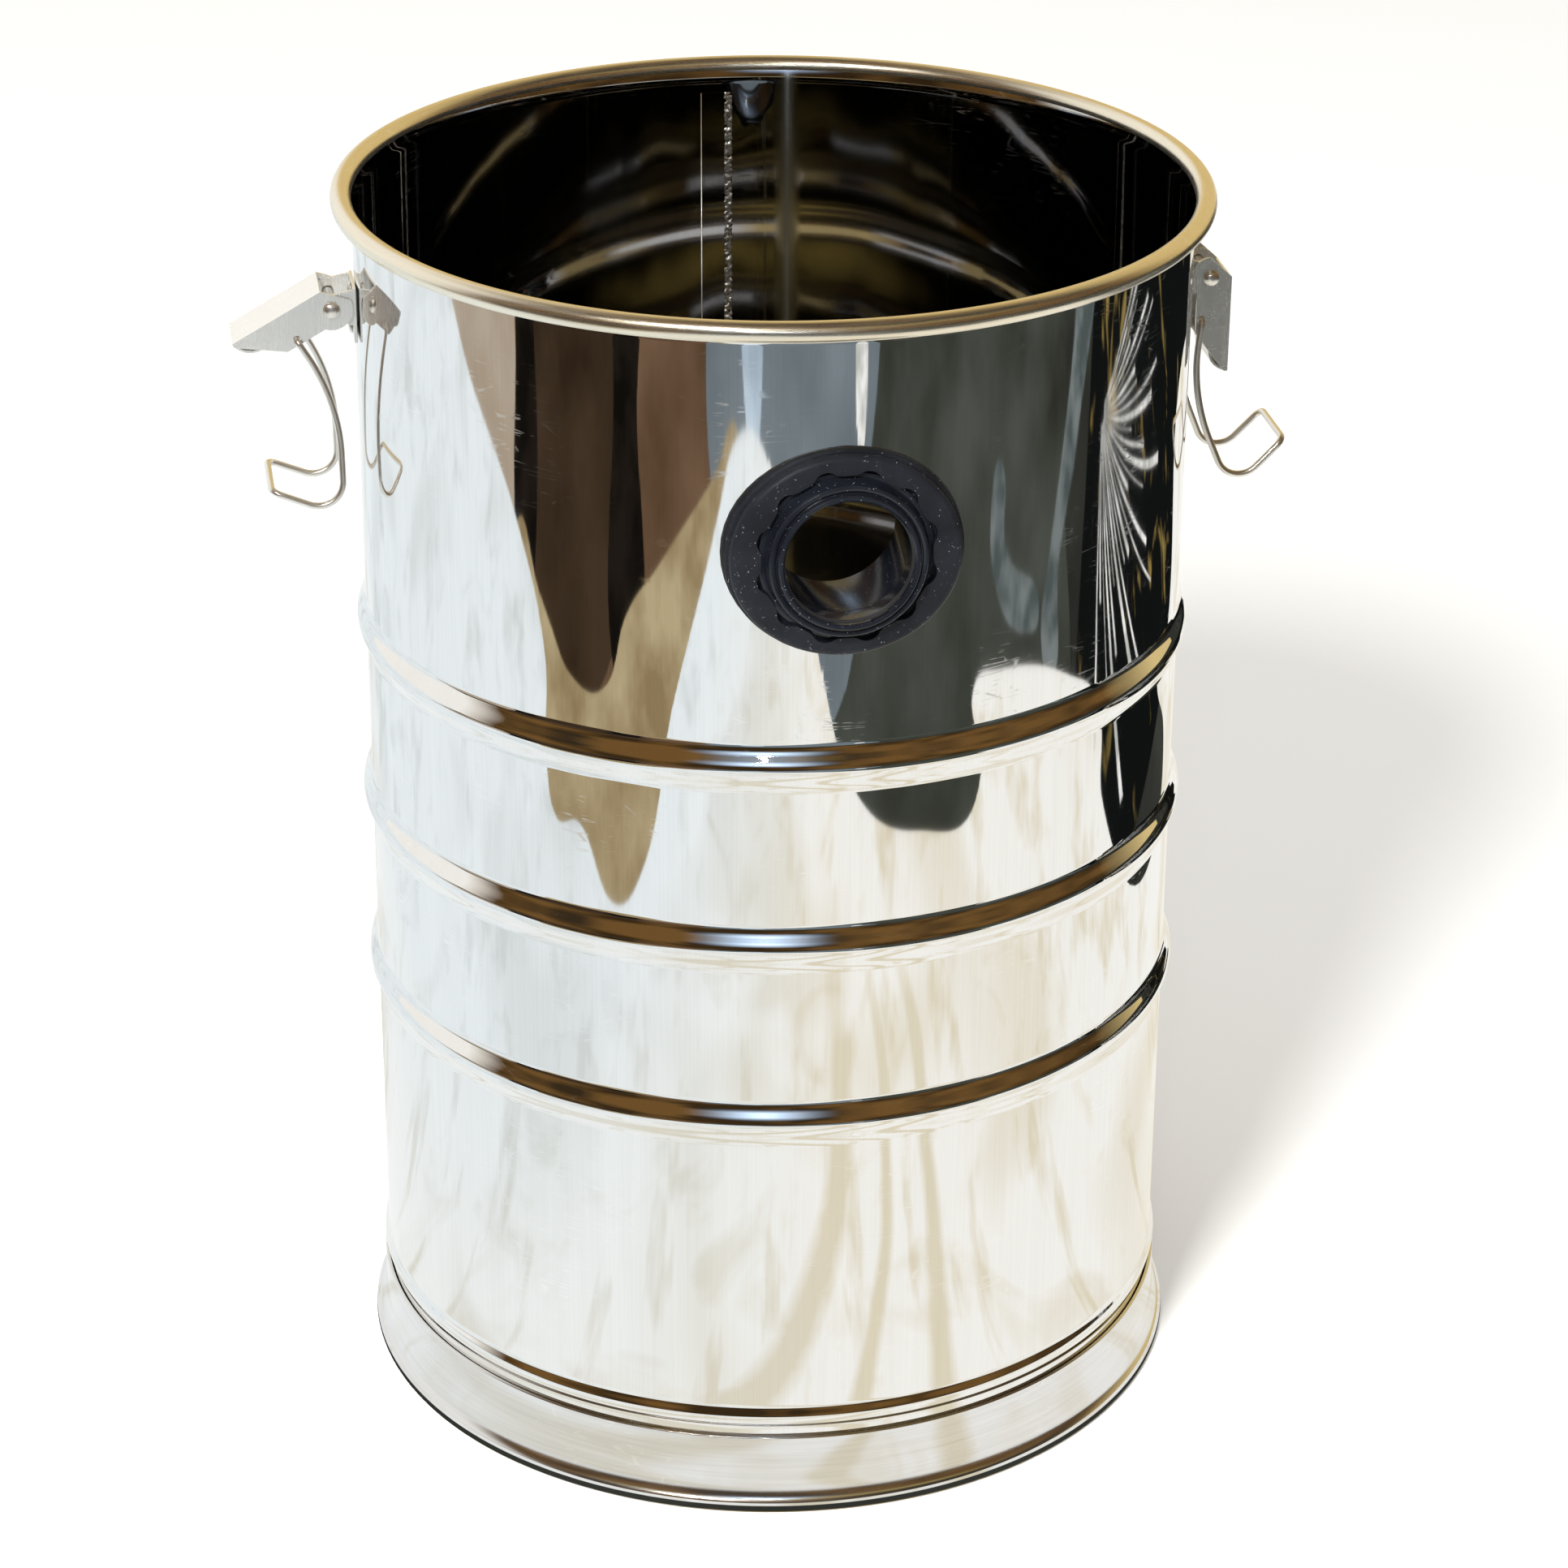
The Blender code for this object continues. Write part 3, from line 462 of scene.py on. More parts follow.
# the pan's steel is a darker copy of the satin steel: painted shade for the floor deep inside the drum
panShadedSteel = satinSteel("panShadedSteel", (0.46, 0.46, 0.47), 0.26, 0.38, 500.0)
latchSteel = tumbledSteel("latchSteel", (0.97, 0.96, 0.93), 0.22, 0.30, 0.90)
wireSteel = tumbledSteel("wireSteel", (0.95, 0.92, 0.86), 0.28, 0.38)
weldSteel = tumbledSteel("weldSteel", (0.86, 0.84, 0.80), 0.22, 0.45)
flangePlastic = mouldedPlastic("flangePlastic", (0.006, 0.007, 0.010), 0.34, 0.46, 0.6, 0.24)
collarPlastic = mouldedPlastic("collarPlastic", (0.005, 0.006, 0.009), 0.09, 0.15, 0.05, 0.40)
sealRubber = mouldedPlastic("sealRubber", (0.010, 0.010, 0.011), 0.45, 0.60, 0.3)
print("materials ready")


waves = [(drum["bead"], drum["beadWidth"], drum["beadRise"])]
waves += [(rib, drum["ribWidth"], drum["ribRise"]) for rib in drum["ribs"]]


def wallRadius(height):
    rise = 0.0
    for centre, width, most in waves:
        offset = abs(height - centre)
        if offset < width / 2:
            rise += most * (1 + math.cos(math.tau * offset / width)) / 2
    return drum["radius"] + rise


def wallHeights():
    heights = [drum["foot"], drum["foot"] + 0.012]
    steps = drum["waveSteps"]
    for centre, width, _ in waves:
        heights += [centre + width * (i / steps - 0.5) for i in range(steps + 1)]
        # support loops, which keep the shading flat between the ribs
        heights += [centre + width * share for share in (-0.9, -0.6, -0.53, 0.53, 0.6, 0.9)]
    return sorted(heights)


def rollCentre():
    return drum["radius"] + drum["rollReach"] - drum["rollRadius"], rimTop - drum["rollRadius"]


def buildWall():
    rollZ = rollCentre()[1]
    lean = rollZ - drum["leanHeight"]
    radius = drum["radius"]
    inner = radius - drum["sheet"]
    outside = [(wallRadius(h), above(h)) for h in wallHeights()]
    outside += [(radius, lean - 0.030), (radius, lean - 0.0025), (radius, lean - 0.001)]
    outside += [(radius + 0.0002, lean + 0.0015), (radius + 0.0010, lean + 0.0040)]
    inside = [(inner + 0.0014, rollZ + 0.0004), (inner + 0.0010, rollZ - 0.0012)]
    inside += [(inner + 0.0002, lean + 0.0015)]
    inside += [(inner, lean - 0.001), (inner, lean - 0.0025), (inner, lean - 0.030)]
    inside += [(wallRadius(h) - drum["sheet"], above(h)) for h in reversed(wallHeights())]
    wall = lathe("drumWall", outside + inside, drum["sides"])
    hole = rod("wallHole", inlet["wallHole"], *inlet["cutter"], inlet["cutterSides"])
    placeBy(hole, inletMatrix)
    cut(wall, hole)
    smooth(wall)
    dress(wall, wallSteel, "polished_steel", "drum", "drum_shell")
    # the inward faces take the darker inner steel, which is painted shade of the drum's inside
    wall.data.materials.append(innerShadedSteel)
    for face in wall.data.polygons:  # the faces that look towards the axis
        across = Vector((face.center.x, face.center.y, 0))
        inward = across.dot(face.normal) < 0 and across.length < drum["radius"] + 0.004
        face.material_index = 1 if inward else 0
    return wall


def buildRim():
    rollR, rollZ = rollCentre()
    profile = arc((rollR, rollZ), drum["rollRadius"], 0, 360, 28)[:-1]
    return dress(lathe("rolledRim", profile, drum["sides"]), rimSteel, "polished_steel", "drum")


def seamArc(name, radius, first, last):
    # a thin strip that hugs the inside of the wall between two offsets from the seam
    heights = [h for h in wallHeights() if h > drum["foot"] + 0.02]
    profile = [(wallRadius(h) - drum["sheet"] - radius, above(h)) for h in heights]
    profile += [(drum["radius"] - drum["sheet"] - radius, rimTop - seam["topGap"])]
    strip = lathe(name, profile, seam["steps"], False)
    beginEdit(strip)
    for place, normal in (((first, 0, 0), (-1, 0, 0)), ((last, 0, 0), (1, 0, 0)), ((0, 0, 0), (0, -1, 0))):
        bpy.ops.mesh.select_all(action="SELECT")
        bpy.ops.mesh.bisect(plane_co=place, plane_no=normal, clear_outer=True)
    endEdit()
    return strip


def buildSeam():
    # a lapped strip up the back of the drum, with a rough bead of weld along one edge
    strip = seamArc("lapStrip", seam["lift"], *seam["strip"])
    applyModifier(strip, "SOLIDIFY", thickness=seam["sheet"], offset=1)
    smooth(strip)
    # the strip inside takes the same painted shade as the inner wall
    dress(strip, innerShadedSteel, "polished_steel", "drum")
    edge = seamArc("lapEdge", seam["lift"], *seam["edge"])
    applyModifier(edge, "SOLIDIFY", thickness=seam["sheet"] * 1.4, offset=1)
    dress(edge, weldSteel, "polished_steel", "drum")
    bead = seamArc("seamWeld", seam["lift"], *seam["weld"])
    beginEdit(bead)
    bpy.ops.mesh.subdivide(number_cuts=seam["cuts"])
    endEdit()
    applyModifier(bead, "SOLIDIFY", thickness=seam["weldSheet"], offset=1)
    applyModifier(bead, "REMESH", mode="VOXEL", voxel_size=seam["voxel"])
    lumps = bpy.data.textures.new("weldLumps", "CLOUDS")
    lumps.noise_scale = seam["lumpSize"]
    applyModifier(bead, "DISPLACE", texture=lumps, strength=seam["lumpHeight"], mid_level=0.35)
    smooth(bead, 60)
    dress(bead, weldSteel, "polished_steel", "drum")


# the hose inlet is made round Z, then turned so that its axis runs along -Y
inlet = {
    "height": 0.519,
    "bore": 0.030,
    "tubeWall": 0.0024,
    "innerDepth": 0.165,
    "collarDepth": 0.221,
    "lipRadius": 0.0330,
    "collarRadius": 0.0369,
    "shoulderDrop": 0.0022,
    "discRadius": 0.0410,
    "discSheet": 0.0016,
    "saddleDepth": 0.2130,
    "halfHeight": 0.0502,
    "halfWidth": 0.0555,
    "edgeRadius": 0.0030,
    "step": 0.0012,
    "recessRadius": 0.0430,
    "recessDip": 0.0016,
    "recessDrop": 0.0043,
    "lobes": 12,
    "lobeShare": 0.27,  # half a lobe's width, as a share of its pitch
    "saddleInner": 0.020,
    "saddleSheet": 0.022,  # thickness before the drum's curve is cut away
    "saddleLift": 0.0016,  # gap to the wall behind
    "coreSpan": (0.44, 0.60),  # heights between which that curve is cut
    "saddleBore": 0.0337,
    "softEdge": 0.0004,
    "sealDrop": 0.0026,
    "sealSlot": 0.0038,
    "cutter": (0.15, 0.25),
    "cutterSides": 96,
    "wallHole": 0.0359,
    "notchWidth": 0.009,
    "notchAngle": 118,
    "sides": 144,
}
inletMatrix = Matrix.Translation((0, 0, above(inlet["height"]))) @ Matrix.Rotation(math.pi / 2, 4, "X")


def lobedCutter(name, radius, dip, low, high):
    # a rod whose sides are pulled in at each lobe, then relaxed
    piece = rod(name, radius, low, high, inlet["sides"])
    for lobe in range(inlet["lobes"]):
        middle = math.pi / 2 + math.tau * lobe / inlet["lobes"]
        beginEdit(piece, "DESELECT")
        endEdit()
        for vertex in piece.data.vertices:
            away = (math.atan2(vertex.co.y, vertex.co.x) - middle + math.pi) % math.tau - math.pi
            vertex.select = abs(away) < math.tau / inlet["lobes"] * inlet["lobeShare"]
        bpy.ops.object.mode_set(mode="EDIT")
        pull = 1 - 2 * dip / radius
        bpy.ops.transform.resize(value=(pull, pull, 1), center_override=(0, 0, 0))
        endEdit()
    beginEdit(piece)
    bpy.ops.mesh.vertices_smooth(factor=0.5, repeat=3, zaxis=False)
    endEdit()
    return piece


def buildSaddle():
    edge = inlet["edgeRadius"]
    depth = inlet["saddleDepth"]
    front = inlet["halfHeight"] - inlet["step"]
    stepZ = depth - 2.2 * edge
    soft = inlet["softEdge"]
    back = depth - inlet["saddleSheet"]
    profile = [(inlet["saddleInner"], depth), (front - edge - 0.004, depth)]
    profile += arc((front - edge, depth - edge), edge, 90, 0, 10)
    profile += [(front, stepZ + soft)] + arc((inlet["halfHeight"] - soft, stepZ - soft), soft, 90, 0, 3)
    profile += [(inlet["halfHeight"], back), (inlet["saddleInner"], back)]
    saddle = lathe("inletFlange", profile, 192)
    saddle.scale = (inlet["halfWidth"] / inlet["halfHeight"], 1, 1)
    settle(saddle)
    recess = lobedCutter("recessCutter", inlet["recessRadius"], inlet["recessDip"],
                         depth - inlet["recessDrop"], depth + 0.004)
    cut(saddle, recess)
    placeBy(saddle, inletMatrix)
    span = [above(height) for height in inlet["coreSpan"]]
    core = rod("drumCore", drum["radius"] + inlet["saddleLift"], *span, seam["steps"])
    cut(saddle, core)
    bore = rod("flangeBore", inlet["saddleBore"], *inlet["cutter"], inlet["cutterSides"])
    placeBy(bore, inletMatrix)
    cut(saddle, bore)
    applyModifier(saddle, "BEVEL", width=soft, segments=2, limit_method="ANGLE",
                  angle_limit=math.radians(50), harden_normals=False)
    smooth(saddle, 40)
    return dress(saddle, flangePlastic, "black_plastic", "drum", "inlet_saddle")


def buildSocket():
    bore = inlet["bore"]
    tube = bore + 0.001 + inlet["tubeWall"]
    depth = inlet["collarDepth"]
    back = inlet["saddleDepth"] - inlet["recessDrop"] + 0.0003
    front = back + inlet["discSheet"]
    shoulder = depth - inlet["shoulderDrop"]
    lip = inlet["lipRadius"]
    collar = inlet["collarRadius"]
    sealTop = depth - inlet["sealDrop"]
    sealBase = sealTop - inlet["sealSlot"]
    outside = arc((lip - 0.0008, depth - 0.0008), 0.0008, 90, 0, 6)
    outside += [(lip + 0.0001, shoulder - 0.0010), (lip + 0.0005, shoulder - 0.0013)]
    outside += [(lip + 0.0010, shoulder - 0.0012), (lip + 0.0013, shoulder - 0.0004)]
    outside += arc((collar - 0.0011, shoulder - 0.0011), 0.0011, 90, 0, 6)
    outside += [(collar + 0.0004, front + 0.0030), (collar + 0.0007, front + 0.0010)]
    outside += [(collar + 0.0014, front)]
    outside += arc((inlet["discRadius"] - 0.0005, front - 0.0005), 0.0005, 90, 0, 4)
    outside += [(inlet["discRadius"], back), (tube, back), (tube, inlet["innerDepth"])]
    inside = [(tube - inlet["tubeWall"] + 0.0008, inlet["innerDepth"])]
    inside += [(tube - inlet["tubeWall"], inlet["innerDepth"] + 0.0008)]
    inside += [(tube - inlet["tubeWall"], sealBase - 0.0122), (bore + 0.0005, sealBase - 0.0104)]
    inside += [(bore + 0.0004, sealBase - 0.0098), (bore + 0.0004, sealBase), (bore + 0.0014, sealBase)]
    inside += [(bore + 0.0014, sealTop), (bore, sealTop), (bore, depth - 0.0009), (bore + 0.0009, depth)]
    socket = lathe("hoseSocket", outside + inside, 168)
    for index in (0, 1):
        notch = block(f"notchCutter{index}", (-inlet["notchWidth"] / 2, bore - 0.004, sealTop - 0.0004),
                      (inlet["notchWidth"] / 2, bore + 0.0012, depth + 0.001))
        turn = math.radians(inlet["notchAngle"] - 90) + index * math.pi
        placeBy(notch, Matrix.Rotation(turn, 4, "Z"))
        cut(socket, notch)
    placeBy(socket, inletMatrix)
    smooth(socket, 40)
    return dress(socket, collarPlastic, "black_plastic", "drum", "inlet_socket")


def buildSeal():
    outer = inlet["bore"] + 0.0011
    inner = inlet["bore"] - 0.0007
    top = inlet["collarDepth"] - 0.0029
    base = top - 0.0032
    middle = (top + base) / 2
    section = [(outer, top), (outer, base), (inlet["bore"] + 0.0003, base), (inner + 0.0002, base + 0.0004)]
    section += [(inner, base + 0.0009), (inner + 0.0006, middle - 0.0003), (inner + 0.0008, middle)]
    section += [(inner + 0.0006, middle + 0.0003), (inner, top - 0.0009), (inner + 0.0002, top - 0.0004)]
    section += [(inlet["bore"] + 0.0003, top)]
    seal = lathe("hoseSeal", section, 168)
    placeBy(seal, inletMatrix)
    return dress(seal, sealRubber, "black_rubber", "drum", "hose_seal")


ring = {
    "gap": 0.0003,
    "sheet": 0.0020,
    "top": 0.0415,
    "footReach": 0.0058,
    "shelf": 0.0035,
    "lip": 0.0045,
    "cove": 0.0135,
    "coveSteps": 12,
}


def buildRing():
    inner = drum["radius"] + ring["gap"]
    outer = inner + ring["sheet"]
    foot = outer + ring["footReach"]
    half = ring["sheet"] / 2
    shelfR = drum["radius"] - ring["shelf"]
    profile = [(outer, above(ring["top"] - half)), (outer, above(0.030))]
    for i in range(ring["coveSteps"] + 1):
        turn = math.pi / 2 * i / ring["coveSteps"]
        profile.append((outer + ring["footReach"] * (1 - math.cos(turn)),
                        above(ring["lip"] + ring["cove"] * (1 - math.sin(turn)))))
    profile += [(foot + 0.0002, above(0.0025)), (foot - 0.0001, above(0.0014))]
    profile += [(foot - 0.0006, above(0.0006)), (foot - 0.0014, ground), (shelfR, ground)]
    profile += [(shelfR, above(drum["foot"] - ring["gap"])), (inner, above(drum["foot"] - ring["gap"]))]
    profile += [(inner, above(ring["top"] - half))]
    profile += arc((inner + half, above(ring["top"] - half)), half, 180, 0, 8)[1:-1]
    return dress(lathe("footRing", profile, drum["sides"]), ringSteel, "satin_steel", "drum", "foot_ring")


# in a latch's own frame X is outward from the wall, Y is up and Z is lateral
latch = {
    "halfWidth": 0.0155,
    "wire": 0.00169,
    "eyeDown": 0.0220,
    "eyeIn": 0.0041,
    "upperStraight": 0.010,
    "upperRadius": 0.100,
    "upperTurn": 30,
    "lowerStraight": 0.013,
    "bendRadius": 0.012,
    "bendTurn": 113,
    "toeStraight": 0.0145,
    "cornerRadius": 0.0050,
    "endLength": 0.0035,
    "startHeading": -97.5,
    "splay": 0.0045,
    "eyeCorner": 0.0022,
    "gap": 0.0003,
    "leverRest": {"left": 60.5, "right": 0.0},
    "hookRest": {"left": -83.5, "right": 0.0},
    "azimuth": {"left": math.pi, "right": 0.0},
    "bend": 0.0004,
}


def mountMatrix(side):
    pivot = Vector(joints[f"{side}_lever_pivot"]["pos_m"])
    turn = Matrix.Rotation(latch["azimuth"][side], 4, "Z") @ Matrix.Rotation(math.pi / 2, 4, "X")
    return Matrix.Translation(pivot) @ turn


def hookMatrix(side):
    lever = mountMatrix(side) @ Matrix.Rotation(math.radians(latch["leverRest"][side]), 4, "Z")
    eye = Matrix.Translation((-latch["eyeIn"], -latch["eyeDown"], 0))
    return lever @ eye @ Matrix.Rotation(math.radians(latch["hookRest"][side]), 4, "Z")


def hookLeg():
    place = Vector((0.0, 0.0))
    heading = math.radians(latch["startHeading"])
    points = [place.copy()]
    runs = [
        ("straight", latch["upperStraight"], 0, 3),
        ("bend", latch["upperRadius"], latch["upperTurn"], 16),
        ("straight", latch["lowerStraight"], 0, 4),
        ("bend", latch["bendRadius"], latch["bendTurn"], 22),
        ("straight", latch["toeStraight"], 0, 4),
    ]
    for kind, size, turn, steps in runs:
        share = math.radians(turn) / steps
        stride = size / steps if kind == "straight" else 2 * size * math.sin(share / 2)
        for _ in range(steps):
            heading += share / 2
            place = place + Vector((math.cos(heading), math.sin(heading))) * stride
            heading += share / 2
            points.append(place.copy())
    return points, heading


def hookRoute():
    leg, heading = hookLeg()
    lateral = latch["halfWidth"] + latch["gap"] + latch["wire"]
    forward = Vector((math.cos(heading), math.sin(heading)))
    half = [Vector((0, 0, lateral - latch["wire"] - latch["endLength"]))]
    first = leg[1].normalized()
    for i in range(8):
        turn = math.pi / 2 * i / 7
        drop = first * latch["eyeCorner"] * (1 - math.cos(turn))
        half.append(Vector((drop.x, drop.y, lateral - latch["eyeCorner"] * (1 - math.sin(turn)))))
    depth = -min(point.y for point in leg)
    for point in leg[1:]:
        share = min(1.0, point.length / depth)
        half.append(Vector((point.x, point.y, lateral + latch["splay"] * share**1.5)))
    wide = half[-1].z
    toe = leg[-1]
    for i in range(1, 9):
        turn = math.pi / 2 * i / 8
        along = toe + forward * latch["cornerRadius"] * math.sin(turn)
        half.append(Vector((along.x, along.y, wide - latch["cornerRadius"] * (1 - math.cos(turn)))))
    return half + [Vector((p.x, p.y, -p.z)) for p in reversed(half)]


def buildHook(side):
    curve = started(f"{side}HookWire", bpy.ops.curve.primitive_bezier_curve_add).data
    curve.splines.clear()
    route = hookRoute()
    spline = curve.splines.new("POLY")
    spline.points.add(len(route) - 1)
    for point, place in zip(spline.points, route):
        point.co = (*place, 1)
    curve.dimensions = "3D"
    curve.bevel_depth = latch["wire"]
    curve.bevel_resolution = 6
    curve.use_fill_caps = True
    bpy.ops.object.convert(target="MESH")
    wire = bpy.context.object
    beginEdit(wire)
    mergeAndEnd()
    placeBy(wire, hookMatrix(side))
    smooth(wire, 50)
    return dress(wire, wireSteel, "bright_steel", f"{side}_hook", f"{side}_latch_hook")


def softened(node, name, width):
    # a merged copy of a pressed CAD piece, with its cut edges rounded over
    pick(frame["nodes"][node])
    bpy.ops.object.duplicate()
    piece = bpy.context.object
    bpy.ops.object.parent_clear(type="CLEAR_KEEP_TRANSFORM")
    for key in list(piece.keys()):
        del piece[key]
    piece.name = name
    piece.data.name = name
    beginEdit(piece)
    bpy.ops.mesh.customdata_custom_splitnormals_clear()
    bpy.ops.mesh.remove_doubles(threshold=0.00001)
    bpy.ops.mesh.dissolve_limited(angle_limit=math.radians(1.0))
    endEdit()
    applyModifier(piece, "BEVEL", width=width, segments=3, limit_method="ANGLE",
                  angle_limit=math.radians(40), use_clamp_overlap=True)
    smooth(piece, 60)
    applyModifier(piece, "WEIGHTED_NORMAL", mode="FACE_AREA", weight=100, keep_sharp=True)
    return piece


def buildRivet(node, name, size, grip, matrix):
    # two domed heads, with the shank between them
    shank, head, dome = size["shank"], size["head"], size["dome"]
    angles = [math.pi / 2 * i / size["steps"] for i in range(size["steps"])]
    crown = [(head * math.cos(angle), dome * math.sin(angle)) for angle in angles] + [(0.0, dome)]
    profile = [(r, grip[1] + z) for r, z in reversed(crown)]
    profile += [(head * 0.985, grip[1] - 0.00008), (shank, grip[1] - 0.0001), (shank, grip[0] + 0.0001)]
    profile += [(head * 0.985, grip[0] + 0.00008)] + [(r, grip[0] - z) for r, z in crown]
    piece = lathe(name, profile, 40, False)
    placeBy(piece, matrix)
    smooth(piece, 50)
    return dress(piece, wireSteel, "bright_steel", "drum", node)


pin = {"shank": 0.0025, "head": 0.0041, "dome": 0.0026, "steps": 8, "grip": 0.0158}
rivet = {
    "shank": 0.0020,
    "head": 0.0036,
    "dome": 0.0016,
    "steps": 8,
    "levels": {"upper": 0.0050, "lower": -0.0140},  # above the pivot
    "reach": 0.0124,  # from the pivot in to the wall
    "bracket": 0.0015,
}


def buildLatch(side):
    dress(softened(f"{side}_latch_lever", f"{side}Lever", latch["bend"]), latchSteel, "bright_steel",
          f"{side}_lever", f"{side}_latch_lever")
    dress(softened(f"{side}_latch_bracket", f"{side}Bracket", 0.0003), latchSteel, "satin_steel",
          "drum", f"{side}_latch_bracket")
    buildHook(side)
    mount = mountMatrix(side)
    buildRivet(f"{side}_pivot_rivet", f"{side}PivotRivet", pin, (-pin["grip"], pin["grip"]), mount)
    low = -rivet["reach"] - drum["sheet"] - latch["gap"]
    high = -rivet["reach"] + 2 * latch["gap"] + rivet["bracket"]
    for level, height in rivet["levels"].items():
        place = mount @ Matrix.Translation((0, height, 0)) @ Matrix.Rotation(math.pi / 2, 4, "Y")
        buildRivet(f"{side}_{level}_rivet", f"{side}{level.title()}Rivet", rivet, (low, high), place)


buildWall()
buildRim()
buildSeam()
print("drum wall ready")
buildSaddle()
buildSocket()
buildSeal()
print("inlet ready")
buildRing()
for side in ("left", "right"):
    buildLatch(side)
print("latches ready")

nodeFinishes = {
    "drum_floor": panShadedSteel,
    "inlet_gasket": sealRubber,
    "inlet_wedge_ring": sealRubber,
    "inlet_locknut": flangePlastic,
}
for node, material in nodeFinishes.items():
    frame["nodes"][node].data.materials.clear()
    frame["nodes"][node].data.materials.append(material)


def linked(name, data):
    piece = bpy.data.objects.new(name, data)
    bpy.context.scene.collection.objects.link(piece)
    return piece


def buildCamera():
    data = bpy.data.cameras.new("camera")
    data.lens = studio["lens"]
    data.sensor_width = 36
    data.shift_x, data.shift_y = studio["shift"]
    data.clip_end = 60
    camera = linked("camera", data)
    heading, tilt, roll = [math.radians(value) for value in studio["cameraTurn"]]
    turn = Matrix.Rotation(heading, 4, "Z") @ Matrix.Rotation(tilt, 4, "X") @ Matrix.Rotation(roll, 4, "Z")
    camera.matrix_world = Matrix.Translation(studio["cameraPlace"]) @ turn
    bpy.context.scene.camera = camera


def areaLight(name, place, size, power, colour, shines=True, fills=True):
    # it shines in mirrors and fills matt surfaces, unless told not to
    data = bpy.data.lights.new(name, "AREA")
    data.shape = "DISK"
    data.size = size
    data.energy = power
    data.color = colour
    light = linked(name, data)
    light.location = place
    light.rotation_euler = (Vector((0, 0, 0.3)) - Vector(place)).to_track_quat("-Z", "Y").to_euler()
    light.visible_glossy = shines
    light.visible_diffuse = fills


def stageMaterial(name):
    material = bpy.data.materials.new(name)
    material.use_nodes = True
    material.node_tree.nodes.clear()
    return material, Nodes(material.node_tree)


def addGlow(nodes, colour, strength):
    return nodes.add("ShaderNodeEmission", {"Color": colour, "Strength": strength}).outputs[0]


def buildFloor():
    floor = started("studioFloor", bpy.ops.mesh.primitive_plane_add, size=studio["floorSize"],
                    location=(0, 0, ground))
    material, nodes = stageMaterial("paleFloor")
    shader = nodes.add("ShaderNodeBsdfDiffuse", {"Color": (0.93, 0.93, 0.93, 1)})
    nodes.add("ShaderNodeOutputMaterial", {"Surface": shader.outputs[0]})
    floor.data.materials.append(material)
    floor.visible_glossy = False


def showOnlyReflected(piece):
    for ray in ("camera", "diffuse", "transmission", "volume_scatter", "shadow"):
        setattr(piece, f"visible_{ray}", False)


def card(name, outline, lift, paint, curved=True):
    # a flat shape lying on the floor that shows only as a reflection
    curve = started(name, bpy.ops.curve.primitive_bezier_circle_add).data
    curve.dimensions = "2D"
    curve.fill_mode = "BOTH"
    curve.splines.clear()
    spline = curve.splines.new("BEZIER")
    spline.bezier_points.add(len(outline) - 1)
    for point, (x, y) in zip(spline.bezier_points, outline):
        point.co = (x, y, ground + lift)
        point.handle_left_type = point.handle_right_type = "AUTO" if curved else "VECTOR"
    spline.use_cyclic_u = True
    bpy.ops.object.convert(target="MESH")
    shape = bpy.context.object
    showOnlyReflected(shape)
    shape.data.materials.append(paint)


def glowPaint(name, first, second, scale, low, high, strength, stretch=(1, 1, 1), distortion=0.0):
    material, nodes = stageMaterial(name)
    # a plain glow that drifts between two colours
    place = nodes.stretched(nodes.add("ShaderNodeTexCoord").outputs["Object"], stretch)
    patches = nodes.noise(place, scale, 4.0, distortion=distortion)
    colour = nodes.mixColour(nodes.ramp(patches, low, high), (*first, 1), (*second, 1))
    nodes.add("ShaderNodeOutputMaterial", {"Surface": addGlow(nodes, colour, strength)})
    return material


